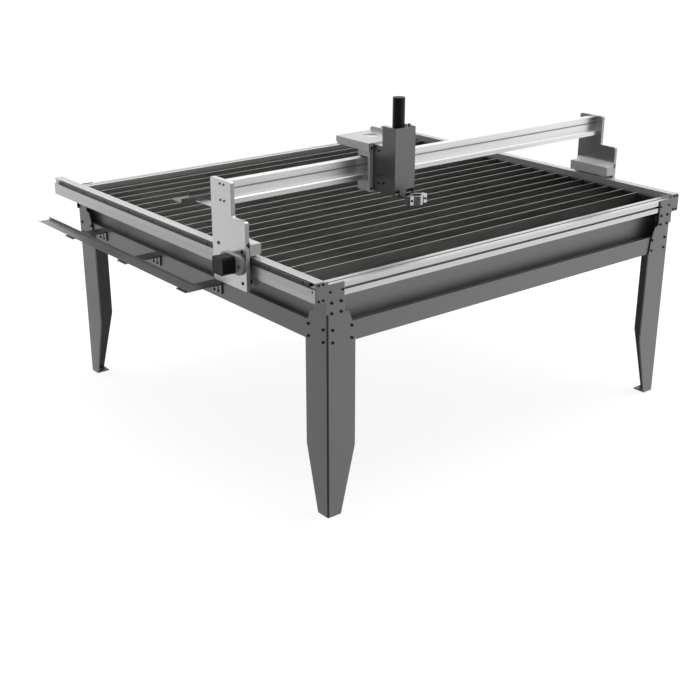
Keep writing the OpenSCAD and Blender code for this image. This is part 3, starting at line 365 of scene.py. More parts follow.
def new_group(name, inputs, outputs):
    group = bpy.data.node_groups.new(name, "ShaderNodeTree")
    for socket, kind, value in inputs:
        made = group.interface.new_socket(name=socket, in_out="INPUT", socket_type=kind)
        if value is not None:
            made.default_value = value
    for socket, kind in outputs:
        group.interface.new_socket(name=socket, in_out="OUTPUT", socket_type=kind)
    start = group.nodes.new("NodeGroupInput")
    end = group.nodes.new("NodeGroupOutput")
    return group, start, end


def add(tree, kind, values=None, **settings):
    """Adds a node; values are numbers or outputs for its inputs."""
    node = tree.nodes.new(kind)
    for name, value in settings.items():
        setattr(node, name, value)
    for name, value in (values or {}).items():
        if isinstance(value, bpy.types.NodeSocket):
            tree.links.new(value, node.inputs[name])
        else:
            node.inputs[name].default_value = value
    return node


def ramp(tree, value, low, high, to_low=0.0, to_high=1.0):
    """Maps low..high of a value to a new range, clamped."""
    return add(tree, "ShaderNodeMapRange", {
        "Value": value, "From Min": low, "From Max": high, "To Min": to_low, "To Max": to_high,
    }).outputs["Result"]


def grain_group():
    """Fine orange peel or blasted grain."""
    group, start, end = new_group(
        "fine_grain",
        [("Vector", "NodeSocketVector", None), ("Scale", "NodeSocketFloat", 900.0)],
        [("Height", "NodeSocketFloat"), ("Mottle", "NodeSocketFloat")])
    fine = add(group, "ShaderNodeTexNoise", {
        "Vector": start.outputs["Vector"], "Scale": start.outputs["Scale"], "Detail": 2.0})
    wide = add(group, "ShaderNodeTexNoise", {
        "Vector": start.outputs["Vector"], "Scale": 7.0, "Detail": 4.0, "Roughness": 0.6})
    group.links.new(fine.outputs["Fac"], end.inputs["Height"])
    group.links.new(ramp(group, wide.outputs["Fac"], low=0.3, high=0.7), end.inputs["Mottle"])
    return group


def lines_group():
    """Drawn or milled lines; Stretch is the pattern's scale along each axis."""
    group, start, end = new_group(
        "drawn_lines",
        [("Vector", "NodeSocketVector", None), ("Stretch", "NodeSocketVector", (1.0, 1.0, 1.0))],
        [("Lines", "NodeSocketFloat"), ("Bands", "NodeSocketFloat")])
    scaled = add(group, "ShaderNodeVectorMath", {
        0: start.outputs["Vector"], 1: start.outputs["Stretch"]}, operation="MULTIPLY")
    fine = add(group, "ShaderNodeTexNoise", {
        "Vector": scaled.outputs["Vector"], "Scale": 1.0, "Detail": 3.0, "Roughness": 0.65})
    bands = add(group, "ShaderNodeTexNoise", {
        "Vector": scaled.outputs["Vector"], "Scale": 0.12, "Detail": 1.0})
    group.links.new(ramp(group, fine.outputs["Fac"], low=0.25, high=0.75), end.inputs["Lines"])
    group.links.new(ramp(group, bands.outputs["Fac"], low=0.35, high=0.65), end.inputs["Bands"])
    return group


def wear_group():
    """Rubbed edges: the edge mask broken up by noise."""
    group, start, end = new_group(
        "rubbed_edges",
        [("Vector", "NodeSocketVector", None), ("Amount", "NodeSocketFloat", 0.5)],
        [("Mask", "NodeSocketFloat")])
    edge = add(group, "ShaderNodeAttribute", attribute_name=EDGE_MASK)
    patch = add(group, "ShaderNodeTexNoise", {
        "Vector": start.outputs["Vector"], "Scale": 60.0, "Detail": 3.0})
    broken = ramp(group, patch.outputs["Fac"], low=0.3, high=0.6, to_low=0.35)
    masked = add(group, "ShaderNodeMath", {0: edge.outputs["Fac"], 1: broken}, operation="MULTIPLY")
    scaled = add(group, "ShaderNodeMath", {
        0: masked.outputs["Value"], 1: start.outputs["Amount"]}, operation="MULTIPLY")
    group.links.new(scaled.outputs["Value"], end.inputs["Mask"])
    return group


def scale_group():
    """Patches of mill scale and heat marks along rolled steel."""
    group, start, end = new_group(
        "mill_scale",
        [("Vector", "NodeSocketVector", None), ("Stretch", "NodeSocketVector", (4.0, 4.0, 40.0))],
        [("Patches", "NodeSocketFloat"), ("Specks", "NodeSocketFloat")])
    scaled = add(group, "ShaderNodeVectorMath", {
        0: start.outputs["Vector"], 1: start.outputs["Stretch"]}, operation="MULTIPLY")
    patches = add(group, "ShaderNodeTexNoise", {
        "Vector": scaled.outputs["Vector"], "Scale": 1.0, "Detail": 5.0, "Roughness": 0.62})
    specks = add(group, "ShaderNodeTexVoronoi", {
        "Vector": start.outputs["Vector"], "Scale": 220.0})
    near = ramp(group, specks.outputs["Distance"], low=0.05, high=0.22, to_low=1.0, to_high=0.0)
    group.links.new(ramp(group, patches.outputs["Fac"], low=0.32, high=0.68), end.inputs["Patches"])
    group.links.new(near, end.inputs["Specks"])
    return group


GROUPS = {}
GROUP_MAKERS = {"grain": grain_group, "lines": lines_group, "wear": wear_group, "scale": scale_group}


def use_group(tree, name, values):
    """Adds a shared group, made when it is first asked for."""
    if name not in GROUPS:
        GROUPS[name] = GROUP_MAKERS[name]()
    return add(tree, "ShaderNodeGroup", values, node_tree=GROUPS[name])


# Finishes

# The Mix node's sockets for colours
MIX_MASK, MIX_FIRST, MIX_SECOND, MIX_RESULT = 0, 6, 7, 2

# Scale of the drawn lines along each axis
LINES_X = (3.0, 700.0, 700.0)
LINES_Y = (700.0, 3.0, 700.0)
LINES_Z = (900.0, 900.0, 40.0)
LINES_FINE = (900.0, 900.0, 900.0)

# Red, green and blue of the brown specks, as shares of the steel's colour
BROWN = (1.35, 1.12, 0.95)


def tint(shade, factor):
    return tuple(min(1.0, part * factor) for part in shade) + (1.0,)


def blend_colours(tree, mask, first, second):
    """Mixes two colours, or an output and a colour, by a mask."""
    values = {MIX_MASK: mask, MIX_FIRST: first, MIX_SECOND: second}
    return add(tree, "ShaderNodeMix", values, data_type="RGBA").outputs[MIX_RESULT]


def mottled(tree, mask, shade, dark, light):
    """A shade that a mask makes darker and lighter."""
    return blend_colours(tree, mask, tint(shade, dark), tint(shade, light))


def new_finish(name, metallic):
    """A material, its tree, its shader and the object's own coordinates."""
    surface = bpy.data.materials.new(name)
    surface.use_nodes = True
    tree = surface.node_tree
    shader = tree.nodes["Principled BSDF"]
    shader.inputs["Metallic"].default_value = metallic
    place_of = tree.nodes.new("ShaderNodeTexCoord").outputs["Object"]
    return surface, tree, shader, place_of


def feed(tree, shader, body, mask, rough, less, more):
    """Feeds a colour, and a roughness that varies with a mask, to the shader."""
    varied = ramp(tree, mask, low=0.0, high=1.0, to_low=rough - less, to_high=rough + more)
    tree.links.new(body, shader.inputs["Base Color"])
    tree.links.new(varied, shader.inputs["Roughness"])


def bump(tree, shader, height, strength, distance):
    node = add(tree, "ShaderNodeBump", {"Strength": strength, "Distance": distance, "Height": height})
    tree.links.new(node.outputs["Normal"], shader.inputs["Normal"])


def powder_coat(name, shade, rough, metallic=0.0, rub=0.35, gloss=0.5):
    """Satin powder coat with orange peel and rubbed edges."""
    surface, tree, shader, at = new_finish(name, metallic)
    shader.inputs["Specular IOR Level"].default_value = gloss
    grain = use_group(tree, "grain", {"Vector": at, "Scale": 650.0})
    wear = use_group(tree, "wear", {"Vector": at, "Amount": rub})
    body = mottled(tree, grain.outputs["Mottle"], shade, dark=0.95, light=1.05)
    body = blend_colours(tree, wear.outputs["Mask"], body, tint(shade, factor=1.7))
    feed(tree, shader, body, grain.outputs["Mottle"], rough, less=0.03, more=0.04)
    bump(tree, shader, grain.outputs["Height"], strength=0.12, distance=0.15 * MM)
    return surface


def drawn_metal(name, shade, stretch, metallic, rough, depth=0.05):
    """Extruded, polished or ground metal with lines in it."""
    surface, tree, shader, at = new_finish(name, metallic)
    lines = use_group(tree, "lines", {"Vector": at, "Stretch": stretch})
    wear = use_group(tree, "wear", {"Vector": at, "Amount": 0.6})
    body = mottled(tree, lines.outputs["Bands"], shade, dark=0.95, light=1.04)
    body = blend_colours(tree, wear.outputs["Mask"], body, tint(shade, factor=1.25))
    feed(tree, shader, body, lines.outputs["Lines"], rough, less=0.05, more=0.06)
    bump(tree, shader, lines.outputs["Lines"], strength=depth, distance=0.1 * MM)
    return surface


def blasted_metal(name, shade, metallic, rough):
    """Milled, ground, rolled or plated metal with an even grain."""
    surface, tree, shader, at = new_finish(name, metallic)
    grain = use_group(tree, "grain", {"Vector": at, "Scale": 1400.0})
    wear = use_group(tree, "wear", {"Vector": at, "Amount": 0.8})
    body = mottled(tree, grain.outputs["Mottle"], shade, dark=0.97, light=1.03)
    body = blend_colours(tree, wear.outputs["Mask"], body, tint(shade, factor=1.5))
    feed(tree, shader, body, grain.outputs["Mottle"], rough, less=0.04, more=0.05)
    bump(tree, shader, grain.outputs["Height"], strength=0.08, distance=0.08 * MM)
    return surface


def rolled_steel(name, shade, metallic, rough, bed=None):
    """Rolled steel with mill scale; in a bed's box, painted shade darkens it towards the right and a
    painted highlight lightens it along the top.
    """
    surface, tree, shader, at = new_finish(name, metallic)
    marks = use_group(tree, "scale", {"Vector": at})
    grain = use_group(tree, "grain", {"Vector": at, "Scale": 700.0})
    body = mottled(tree, marks.outputs["Patches"], shade, dark=0.8, light=1.18)
    brown = tuple(part * share for part, share in zip(shade, BROWN)) + (1.0,)
    specks = ramp(tree, marks.outputs["Specks"], low=0.0, high=1.0, to_high=0.35)
    body = blend_colours(tree, specks, body, brown)
    if bed is not None:
        low, high = bed
        along = add(tree, "ShaderNodeSeparateXYZ", {"Vector": at}).outputs
        # Painted shade: the steel grows darker towards the right of the bed.
        painted_shade_right = ramp(tree, along["X"], low.x, high.x, to_high=0.6)
        body = blend_colours(tree, painted_shade_right, body, tint(shade, factor=0.3))
        # Painted highlight: a lighter band along the top of the slats.
        edge = ramp(tree, along["Z"], low=high.z - 1.2 * MM, high=high.z - 0.2 * MM)
        body = blend_colours(tree, edge, body, tint(shade, factor=1.8))
    feed(tree, shader, body, marks.outputs["Patches"], rough, less=0.07, more=0.1)
    bump(tree, shader, grain.outputs["Height"], strength=0.15, distance=0.1 * MM)
    return surface


# How each finish is made: function, name of the material, its colour in TableFinishes, and values
LOOKS = {
    "paint": (powder_coat, "leg_powder_coat", "paint", {"rough": 0.4, "metallic": 0.9}),
    # Painted shade on the legs' inner faces.
    "inside": (powder_coat, "leg_inside_coat", "inside", {"rough": 0.45, "metallic": 0.9}),
    "tray": (powder_coat, "tray_powder_coat", "tray_paint", {"rough": 0.5, "metallic": 0.5}),
    "shelf": (powder_coat, "shelf_powder_coat", "shelf_paint", {"rough": 0.42, "metallic": 0.85}),
    "housing": (powder_coat, "housing_powder_coat", "housing_paint", {"rough": 0.36, "metallic": 0.85}),
    "black": (powder_coat, "motor_satin_black", "black", {"rough": 0.42, "rub": 0.8, "gloss": 0.25}),
    "plastic": (powder_coat, "glide_plastic", "black", {"rough": 0.55, "rub": 0.2}),
    "profile_x": (drawn_metal, "cross_beam_profile", "profile", {
        "stretch": LINES_X, "metallic": 0.9, "rough": 0.32, "depth": 0.025}),
    "profile_y": (drawn_metal, "rail_profile", "profile", {
        "stretch": LINES_Y, "metallic": 0.6, "rough": 0.32, "depth": 0.025}),
    # Painted shade for the insides of slots and grooves.
    "slot": (drawn_metal, "profile_slot", "slot", {"stretch": LINES_X, "metallic": 0.6, "rough": 0.45}),
    "beam": (drawn_metal, "beam_profile", "beam", {
        "stretch": LINES_X, "metallic": 0.92, "rough": 0.32, "depth": 0.02}),
    "bright": (drawn_metal, "clamp_polished", "bright", {
        "stretch": LINES_Z, "metallic": 1.0, "rough": 0.2, "depth": 0.02}),
    "ground": (drawn_metal, "ground_steel", "ground", {
        "stretch": LINES_FINE, "metallic": 0.95, "rough": 0.28, "depth": 0.03}),
    "plate": (blasted_metal, "plate_ground", "plate", {"metallic": 0.85, "rough": 0.22}),
    "milled": (blasted_metal, "block_milled", "milled", {"metallic": 0.05, "rough": 0.42}),
    "sheet": (blasted_metal, "sheet_rolled", "sheet", {"metallic": 0.95, "rough": 0.36}),
    "channel": (blasted_metal, "channel_rolled", "channel", {"metallic": 0.6, "rough": 0.42}),
    "zinc": (blasted_metal, "screw_zinc", "zinc", {"metallic": 0.9, "rough": 0.34}),
    "cap": (blasted_metal, "motor_cap_bare", "beam", {"metallic": 0.4, "rough": 0.4}),
    "bolt": (blasted_metal, "bolt_black_oxide", "bolt", {"metallic": 0.5, "rough": 0.36}),
    # The slat finish paints shade towards the right of the bed and a highlight along the slats' tops.
    "slat": (rolled_steel, "slat_mill_scale", "slat", {
        "metallic": 0.7, "rough": 0.36, "bed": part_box("slats")}),
    "comb": (rolled_steel, "comb_steel", "comb", {"metallic": 0.35, "rough": 0.5}),
    "rack": (rolled_steel, "rack_oiled", "rack", {"metallic": 0.6, "rough": 0.38}),
    "slide": (rolled_steel, "slide_steel", "slide", {"metallic": 0.7, "rough": 0.35}),
}
FINISHES = {}


def finish(name):
    """The named finish, made when it is first asked for."""
    if name not in FINISHES:
        make, material, shade, values = LOOKS[name]
        shades = bpy.context.scene.table_finishes
        FINISHES[name] = make(material, getattr(shades, shade), **values)
    return FINISHES[name]


# Turned pieces and bolts

def turned(name, rings, sides):
    """Turns a closed outline of (radius, height) rings about the z axis, extruding ring by ring."""
    settle()
    radius, height = rings[0]
    bpy.ops.mesh.primitive_circle_add(
        vertices=sides, radius=radius, location=(0.0, 0.0, height), fill_type="NOTHING")
    piece = bpy.context.object
    piece.name = name
    place(piece, piece.matrix_world.copy())
    open_mesh(piece)
    bpy.ops.mesh.select_mode(type="EDGE")
    bpy.ops.mesh.select_all(action="SELECT")
    for next_radius, next_height in rings[1:] + rings[:1]:
        bpy.ops.mesh.extrude_edges_move(
            TRANSFORM_OT_translate={"value": (0.0, 0.0, next_height - height)})
        factor = next_radius / radius
        bpy.ops.transform.resize(value=(factor, factor, 1.0), center_override=(0.0, 0.0, next_height))
        radius, height = next_radius, next_height
    bpy.ops.mesh.select_all(action="SELECT")
    bpy.ops.mesh.remove_doubles(threshold=MERGE)
    bpy.ops.mesh.normals_make_consistent(inside=False)
    close_mesh()
    return piece


# Shape of a bolt: sides of head and key, radius of the key and width of the edge as shares of the head's
# radius, and the angle in degrees at which its edges are eased
HEAD_SIDES = 20
KEY_SIDES = 6
KEY_SHARE = 0.5
EDGE_SHARE = 0.09
HEAD_ANGLE = 50.0


def socket_bolt(head_r, head_h, shank_r, shank):
    """A round-headed bolt on the z axis, its head standing on z = 0, with a hexagon socket."""
    settle()
    bpy.ops.mesh.primitive_cylinder_add(
        vertices=HEAD_SIDES, radius=head_r, depth=head_h, location=(0.0, 0.0, head_h / 2))
    piece = bpy.context.object
    place(piece, piece.matrix_world.copy())
    pick_faces(piece, lambda centre, normal: normal.z < -ALONG)
    bpy.ops.mesh.inset(thickness=head_r - shank_r)
    bpy.ops.mesh.extrude_region_move(TRANSFORM_OT_translate={"value": (0.0, 0.0, -shank)})
    close_mesh()
    bpy.ops.mesh.primitive_cylinder_add(
        vertices=KEY_SIDES, radius=head_r * KEY_SHARE, depth=head_h, location=(0.0, 0.0, head_h))
    key = bpy.context.object
    apply_modifier(piece, "BOOLEAN", operation="DIFFERENCE", object=key, solver="EXACT")
    drop(key)
    ease_edges(piece, head_r * EDGE_SHARE, angle=HEAD_ANGLE)
    return piece


BOLTS = {}


def bolt_like(head_r, head_h, shank_r, shank):
    """The bolt of that size, modelled once."""
    size = tuple(round(part / MM, 1) for part in (head_r, head_h, shank_r, shank))
    if size not in BOLTS:
        BOLTS[size] = socket_bolt(head_r, head_h, shank_r, shank)
    return BOLTS[size]


def read_bolt(mesh):
    """Place, direction and sizes of a plain bolt solid whose axis is x, y or z."""
    on_rim = 0.98
    on_tail = 0.01 * MM
    points = [vertex.co for vertex in mesh.vertices]
    low = Vector([min(point[k] for point in points) for k in range(3)])
    high = Vector([max(point[k] for point in points) for k in range(3)])
    middle = (low + high) / 2

    def reach(point, axis):
        return math.hypot(*[point[k] - middle[k] for k in range(3) if k != axis])

    def roundness(axis):
        half = max((high - low)[k] / 2 for k in range(3) if k != axis)
        return abs(max(reach(point, axis) for point in points) - half)

    axis = min(range(3), key=roundness)
    head_r = max(reach(point, axis) for point in points)
    head = [point[axis] for point in points if reach(point, axis) > head_r * on_rim]
    upward = sum(head) / len(head) > middle[axis]
    seat = min(head) if upward else max(head)
    tail = low[axis] if upward else high[axis]
    shank_r = max(reach(point, axis) for point in points if abs(point[axis] - tail) < on_tail)
    direction = Vector([float(k == axis) for k in range(3)]) * (1.0 if upward else -1.0)
    foot = middle.copy()
    foot[axis] = seat
    return foot, direction, (head_r, max(head) - min(head), shank_r, abs(seat - tail))


def dress_bolts(node, plating="bolt"):
    """Stands socket bolts in for every plain bolt of a node."""
    plain = solid_copy(node)
    open_mesh(plain)
    bpy.ops.mesh.separate(type="LOOSE")
    close_mesh()
    solids = list(bpy.context.selected_objects)
    made = []
    for solid in solids:
        foot, direction, sizes = read_bolt(solid.data)
        copy = twin(bolt_like(*sizes), node + "_copy")
        turn = direction.to_track_quat("Z", "Y").to_matrix().to_4x4()
        place(copy, Matrix.Translation(foot) @ turn)
        made.append(copy)
    for solid in solids:
        drop(solid)
    piece = join(made, node + "_dressed")
    stand_for(piece, node, finish(plating))


# Operators, one for each group of pieces

class TABLE_OT_stage(bpy.types.Operator):
    """Floor, lights and camera"""

    bl_idname = "table.stage"
    bl_label = "Stage"

    def execute(self, context):
        stage = context.scene.table_stage
        context.scene.view_settings.view_transform = "Standard"
        self.make_floor(stage)
        self.make_sky(context.scene, stage)
        self.make_light(context.scene, stage)
        self.make_camera(context.scene, stage)
        return {"FINISHED"}

    def make_floor(self, stage):
        """A pale floor in the picture, open to other rays, so that the sky lights the table from below."""
        settle()
        bpy.ops.mesh.primitive_plane_add(size=stage.floor, location=(0.0, 0.0, 0.0))
        floor = bpy.context.object
        floor.name = "floor"
        surface, tree, shader, at = new_finish("floor_pale", metallic=0.0)
        grain = use_group(tree, "grain", {"Vector": at, "Scale": 40.0})
        body = mottled(tree, grain.outputs["Mottle"], stage.floor_shade, dark=0.995, light=1.005)
        tree.links.new(body, shader.inputs["Base Color"])
        for socket, value in (
                ("Roughness", 0.9), ("Specular IOR Level", 0.0), ("Emission Color", WHITE),
                ("Emission Strength", stage.floor_glow)):
            shader.inputs[socket].default_value = value
        seen = add(tree, "ShaderNodeMixShader", {
            0: add(tree, "ShaderNodeLightPath").outputs["Is Camera Ray"],
            1: add(tree, "ShaderNodeBsdfTransparent").outputs["BSDF"], 2: shader.outputs["BSDF"]})
        tree.links.new(seen.outputs["Shader"], tree.nodes["Material Output"].inputs["Surface"])
        floor.data.materials.append(surface)

    def make_sky(self, scene, stage):
        """Light that is bright behind the table and dim on the camera's side; the picture shows white."""
        world = bpy.data.worlds.new("studio")
        world.use_nodes = True
        tree = world.node_tree
        back = tree.nodes["Background"]
        back.inputs["Color"].default_value = WHITE
        toward = add(tree, "ShaderNodeTexCoord").outputs["Generated"]
        bright = (math.cos(stage.sky_turn), math.sin(stage.sky_turn), 0.0)
        side = add(tree, "ShaderNodeVectorMath", {0: toward, 1: bright}, operation="DOT_PRODUCT")
        around = ramp(
            tree, side.outputs["Value"], stage.sky_from, stage.sky_to, stage.sky_low, stage.sky_high)
        height = add(tree, "ShaderNodeSeparateXYZ", {"Vector": toward}).outputs["Z"]
        below = ramp(tree, height, stage.under_from, stage.under_to, to_low=stage.under)
        light = add(tree, "ShaderNodeMath", {0: around, 1: below}, operation="MULTIPLY")
        seen = add(tree, "ShaderNodeLightPath").outputs["Is Camera Ray"]
        strength = add(tree, "ShaderNodeMath", {0: light.outputs["Value"], 1: seen}, operation="MAXIMUM")
        tree.links.new(strength.outputs["Value"], back.inputs["Strength"])
        scene.world = world

    def make_light(self, scene, stage):
        lamp = bpy.data.lights.new("light_top", "AREA")
        lamp.shape = "SQUARE"
        lamp.size = stage.top_side
        lamp.energy = stage.top_power
        light = bpy.data.objects.new("light_top", lamp)
        light.location = stage.top_place
        aim = Vector(stage.top_aim) - Vector(stage.top_place)
        light.rotation_euler = aim.to_track_quat("-Z", "Y").to_euler()
        scene.collection.objects.link(light)

    def make_camera(self, scene, stage):
        data = bpy.data.cameras.new("camera")
        data.sensor_width = stage.camera_sensor
        data.lens = stage.camera_lens
        data.clip_end = stage.camera_far
        camera = bpy.data.objects.new("camera", data)
        pan, tilt, roll = stage.camera_turn
        turn = Matrix.Rotation(pan, 4, "Z") @ Matrix.Rotation(tilt, 4, "X") @ Matrix.Rotation(roll, 4, "Z")
        camera.matrix_world = Matrix.Translation(stage.camera_place) @ turn
        scene.collection.objects.link(camera)
        scene.camera = camera


class TABLE_OT_stand(bpy.types.Operator):
    """Folded legs, aprons, corner brackets and foot plates"""

    bl_idname = "table.stand"
    bl_label = "Stand"

    def execute(self, context):
        edge = context.scene.table_edges.sheet
        for node in ("apron_front", "apron_rear", "apron_left", "apron_right",
                     "corner_brackets", "foot_plates"):
            soften(node, edge, finish("paint"))
        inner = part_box("foot_plates")[1]
        close = 2.0 * MM

        def facing_in(centre, normal):
            """Holds for the faces of a leg's two sheets that look to the middle of the table."""
            return any(
                centre[k] * normal[k] < -ALONG * abs(centre[k]) and abs(abs(centre[k]) - inner[k]) < close
                for k in (X, Y))

        for node in ("leg_front_left", "leg_front_right", "leg_rear_left", "leg_rear_right"):
            # The faces that look to the middle of the table get painted shade.
            part_finish(soften(node, edge, finish("paint")), finish("inside"), facing_in)
        return {"FINISHED"}


class TABLE_OT_bed(bpy.types.Operator):
    """Slag tray, combs and slats"""

    bl_idname = "table.bed"
    bl_label = "Bed"

    def execute(self, context):
        edges = context.scene.table_edges
        soften("slag_tray", edges.sheet, finish("tray"))
        soften("slat_combs", edges.slat, finish("comb"), segments=1)
        soften("slats", edges.slat, finish("slat"), segments=1)
        return {"FINISHED"}


class TABLE_OT_rails(bpy.types.Operator):
    """Cross-beams, rails and their racks"""

    bl_idname = "table.rails"
    bl_label = "Rails"

    def execute(self, context):
        edges = context.scene.table_edges
        for node in ("cross_beam_front", "cross_beam_rear"):
            self.cross_beam(node, edges.profile)
        for node in ("rail_left", "rail_right"):
            self.rail(node, edges.rail)
        for node in ("rack_left", "rack_right"):
            coat(node, finish("rack"))
        return {"FINISHED"}

    def rail(self, node, edge):
        """Rail, with painted shade in the fine grooves of its top."""
        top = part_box(node)[1].z
        deep = top - 1.0 * MM
        shallow = top - 0.35 * MM
        piece = soften(node, edge, finish("profile_y"))
        part_finish(piece, finish("slot"), lambda centre, normal: (
            deep < centre.z < shallow and abs(normal.y) < ALONG))

    def cross_beam(self, node, edge):
        """Slotted profile, with painted shade inside its slots and bore."""
        low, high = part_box(node)
        skin = 0.8 * MM

        def inside(centre, normal):
            depth = min(min(centre[k] - low[k], high[k] - centre[k]) for k in (Y, Z))
            return depth > skin and abs(normal.x) < ALONG

        part_finish(soften(node, edge, finish("profile_x")), finish("slot"), inside)


class TABLE_OT_shelf(bpy.types.Operator):
    """Cable tray and its brackets"""

    bl_idname = "table.shelf"
    bl_label = "Cable tray"

    def execute(self, context):
        edges = context.scene.table_edges
        soften("cable_tray", edges.tray, finish("shelf"))
        soften("tray_brackets", edges.sheet, finish("shelf"))
        return {"FINISHED"}


class TABLE_OT_gantry(bpy.types.Operator):
    """Side plates, beam, bearing blocks, axles and chain arm"""

    bl_idname = "table.gantry"
    bl_label = "Gantry"

    def execute(self, context):
        edges = context.scene.table_edges
        for node in ("gantry_plate_left", "gantry_plate_right"):
            plate = soften(node, edges.plate, finish("plate"))
            # Painted reflection: the plates' front faces get the lighter matt finish.
            part_finish(plate, finish("milled"), lambda centre, normal: normal.y < -ALONG)
        self.beam(edges)
        coat("cross_rack", finish("rack"))
        for node in ("bearing_blocks", "motor_mounts"):
            soften(node, edges.block, finish("milled"))
        soften("roller_axles", edges.profile, finish("bolt"))
        soften("chain_arm", edges.sheet, finish("sheet"))
        soften("chain_channel", edges.sheet, finish("channel"))
        return {"FINISHED"}

    def beam(self, edges):
        """Beam with a chamfered ledge, and painted shade in the groove in its front."""
        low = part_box("gantry_beam")[0]
        piece = solid_copy("gantry_beam")
        ledge_z = low.z + edges.ledge
        chamfer(piece, edges.chamfer, lambda point: (
            abs(point.y - low.y) < ON_PLANE and abs(point.z - ledge_z) < ON_PLANE))
        ease_edges(piece, edges.profile)
        stand_for(piece, "gantry_beam", finish("beam"))
        wall = low.y + edges.ledge
        groove = low.z + edges.groove
        shallow = wall + 0.3 * MM
        deep = wall + 4.0 * MM
        half = 3.0 * MM
        # Painted shade on the faces inside the groove.
        part_finish(piece, finish("slot"), lambda centre, normal: (
            shallow < centre.y < deep and abs(centre.z - groove) < half and abs(normal.x) < ALONG))


class TABLE_OT_drives(bpy.types.Operator):
    """Drive motors and pinions"""

    bl_idname = "table.drives"
    bl_label = "Drives"

    def execute(self, context):
        edges = context.scene.table_edges
        for node, axis, outward in (
                ("drive_motor_left", X, -1.0), ("drive_motor_right", X, 1.0), ("cross_motor", Z, 1.0)):
            self.motor(node, axis, outward, edges)
        for node in ("pinion_left", "pinion_right", "cross_pinion"):
            soften(node, edges.slat, finish("ground"), segments=1)
        return {"FINISHED"}

    def motor(self, node, axis, outward, edges):
        """Square motor: a sunk core between two end caps, and a dished rear face."""
        piece = solid_copy(node)
        low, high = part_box(node)
        ends = (low[axis] + edges.cap, high[axis] - edges.cap)
        normal = Vector([float(k == axis) for k in range(3)])
        for at in ends:
            open_mesh(piece)
            bpy.ops.mesh.bisect(plane_co=normal * at, plane_no=normal)
            close_mesh()
        middle = (low + high) / 2
        beyond_bore = 10.0 * MM

        def on_core(centre, face_normal):
            aside = centre - middle
            aside[axis] = 0.0
            return (ends[0] < centre[axis] < ends[1] and abs(face_normal[axis]) < ACROSS
                    and aside.dot(face_normal) > beyond_bore)

        pick_faces(piece, on_core)
        bpy.ops.mesh.extrude_region_shrink_fatten(TRANSFORM_OT_shrink_fatten={"value": -edges.seam})
        close_mesh()
        rear = high[axis] if outward > 0 else low[axis]
        pick_faces(piece, lambda centre, face_normal: abs(centre[axis] - rear) < ON_PLANE)
        bpy.ops.mesh.inset(thickness=edges.rim, depth=-edges.dish)
        close_mesh()
        ease_edges(piece, edges.cap_edge)
        stand_for(piece, node, finish("black"))
        if node == "cross_motor":
            part_finish(piece, finish("cap"), lambda centre, face_normal: centre[axis] > ends[1])


class TABLE_OT_rollers(bpy.types.Operator):
    """Eight gantry rollers with their bearings"""

    bl_idname = "table.rollers"
    bl_label = "Rollers"

    count = 8
    sides = 48
    tyre_share = 0.8

    def execute(self, context):
        low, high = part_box("roller_1")
        radius = (high.z - low.z) / 2
        width = high.x - low.x
        model = self.roller(radius, width, self.bore(low, high), context.scene.table_edges)
        lay_along_x = Matrix.Rotation(math.radians(90.0), 4, "Y")
        for index in range(1, self.count + 1):
            node = f"roller_{index}"
            low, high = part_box(node)
            copy = twin(model, node + "_dressed")
            place(copy, Matrix.Translation((low + high) / 2) @ lay_along_x)
            stand_for(copy, node, finish("milled"))
        drop(model)
        return {"FINISHED"}

    def bore(self, low, high):
        """Radius of the bore, read from the first roller's solid."""
        middle = (low + high) / 2
        points = [vertex.co for vertex in frame["nodes"]["roller_1"].data.vertices]
        return min(math.hypot(point.y - middle.y, point.z - middle.z) for point in points)

    def roller(self, radius, width, bore, edges):
        """Tyre, sunk shield and inner ring, turned about the z axis."""
        half = width / 2
        sunk = half - edges.shield
        rim = radius * self.tyre_share
        ring = bore + edges.ring
        side = [(rim, half), (rim, sunk), (ring, sunk), (ring, half), (bore, half)]
        rings = [(radius, -half), (radius, half)] + side
        rings += [(part, -height) for part, height in reversed(side)]
        piece = turned("roller_model", rings, self.sides)
        ease_edges(piece, edges.tyre)
        return piece


class TABLE_OT_carriage(bpy.types.Operator):
    """Carriage plate, lid, blocks and glides"""

    bl_idname = "table.carriage"
    bl_label = "Carriage"

    def execute(self, context):
        edges = context.scene.table_edges
        soften("carriage_plate", edges.block, finish("milled"))
        soften("carriage_blocks", edges.block, finish("milled"))
        soften("carriage_lid", edges.block, finish("sheet"))
        soften("glide_pads", edges.profile, finish("plastic"))
        return {"FINISHED"}


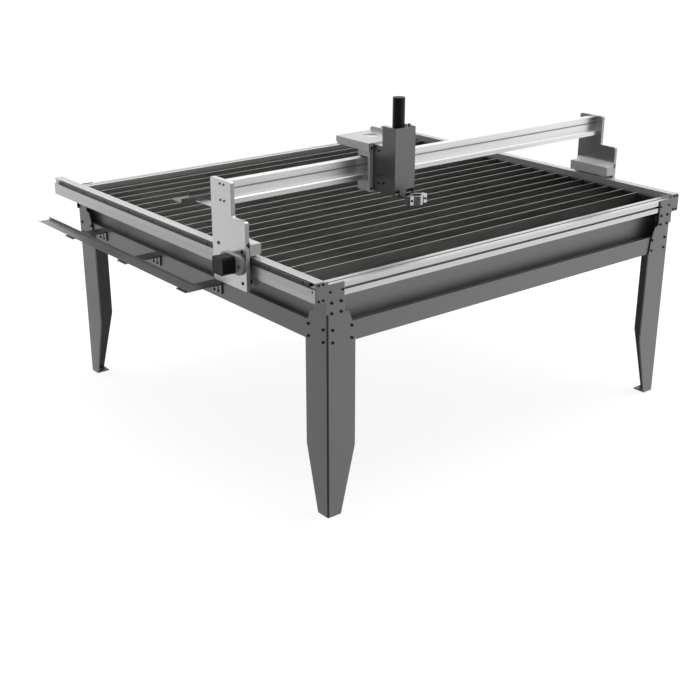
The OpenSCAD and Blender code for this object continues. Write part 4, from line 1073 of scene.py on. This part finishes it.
class TABLE_OT_lifter(bpy.types.Operator):
    """Torch lifter: housing, rods, screw, motor, slide and clamp"""

    bl_idname = "table.lifter"
    bl_label = "Torch lifter"

    def execute(self, context):
        edges = context.scene.table_edges
        soften("lift_housing", edges.sheet, finish("housing"))
        soften("guide_rods", edges.profile, finish("ground"))
        soften("lift_screw", edges.profile, finish("ground"))
        motor = soften("lift_motor", edges.motor, finish("black"))
        edge_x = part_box("lift_motor")[1].x - edges.gland
        part_finish(motor, finish("beam"), lambda centre, normal: centre.x > edge_x)
        soften("slide_block", edges.block, finish("slide"))
        soften("torch_arm", edges.block, finish("bright"))
        soften("clamp_cap", edges.block, finish("bright"))
        return {"FINISHED"}


class TABLE_OT_fasteners(bpy.types.Operator):
    """Socket bolts and screws"""

    bl_idname = "table.fasteners"
    bl_label = "Fasteners"

    def execute(self, context):
        for node in ("frame_bolts", "carriage_bolts", "clamp_screws", "rack_screws"):
            dress_bolts(node)
        dress_bolts("gantry_bolts", "zinc")
        for model in BOLTS.values():
            drop(model)
        BOLTS.clear()
        return {"FINISHED"}


STEPS = (
    TABLE_OT_stage, TABLE_OT_stand, TABLE_OT_bed, TABLE_OT_rails, TABLE_OT_shelf, TABLE_OT_gantry,
    TABLE_OT_drives, TABLE_OT_rollers, TABLE_OT_carriage, TABLE_OT_lifter, TABLE_OT_fasteners)


class TABLE_PT_panel(bpy.types.Panel):
    """Buttons of the table's groups"""

    bl_idname = "TABLE_PT_panel"
    bl_label = "Plasma cutting table"
    bl_space_type = "VIEW_3D"
    bl_region_type = "UI"
    bl_category = "Table"

    def draw(self, context):
        for step in STEPS:
            self.layout.operator(step.bl_idname)


CLASSES = (TableFinishes, TableEdges, TableStage) + STEPS + (TABLE_PT_panel,)


def register():
    for kind in CLASSES:
        bpy.utils.register_class(kind)
    bpy.types.Scene.table_finishes = bpy.props.PointerProperty(type=TableFinishes)
    bpy.types.Scene.table_edges = bpy.props.PointerProperty(type=TableEdges)
    bpy.types.Scene.table_stage = bpy.props.PointerProperty(type=TableStage)


def unregister():
    del bpy.types.Scene.table_stage
    del bpy.types.Scene.table_edges
    del bpy.types.Scene.table_finishes
    for kind in reversed(CLASSES):
        bpy.utils.unregister_class(kind)


def main():
    register()
    for step in STEPS:
        group, name = step.bl_idname.split(".")
        getattr(getattr(bpy.ops, group), name)()


if __name__ == "__main__":
    main()
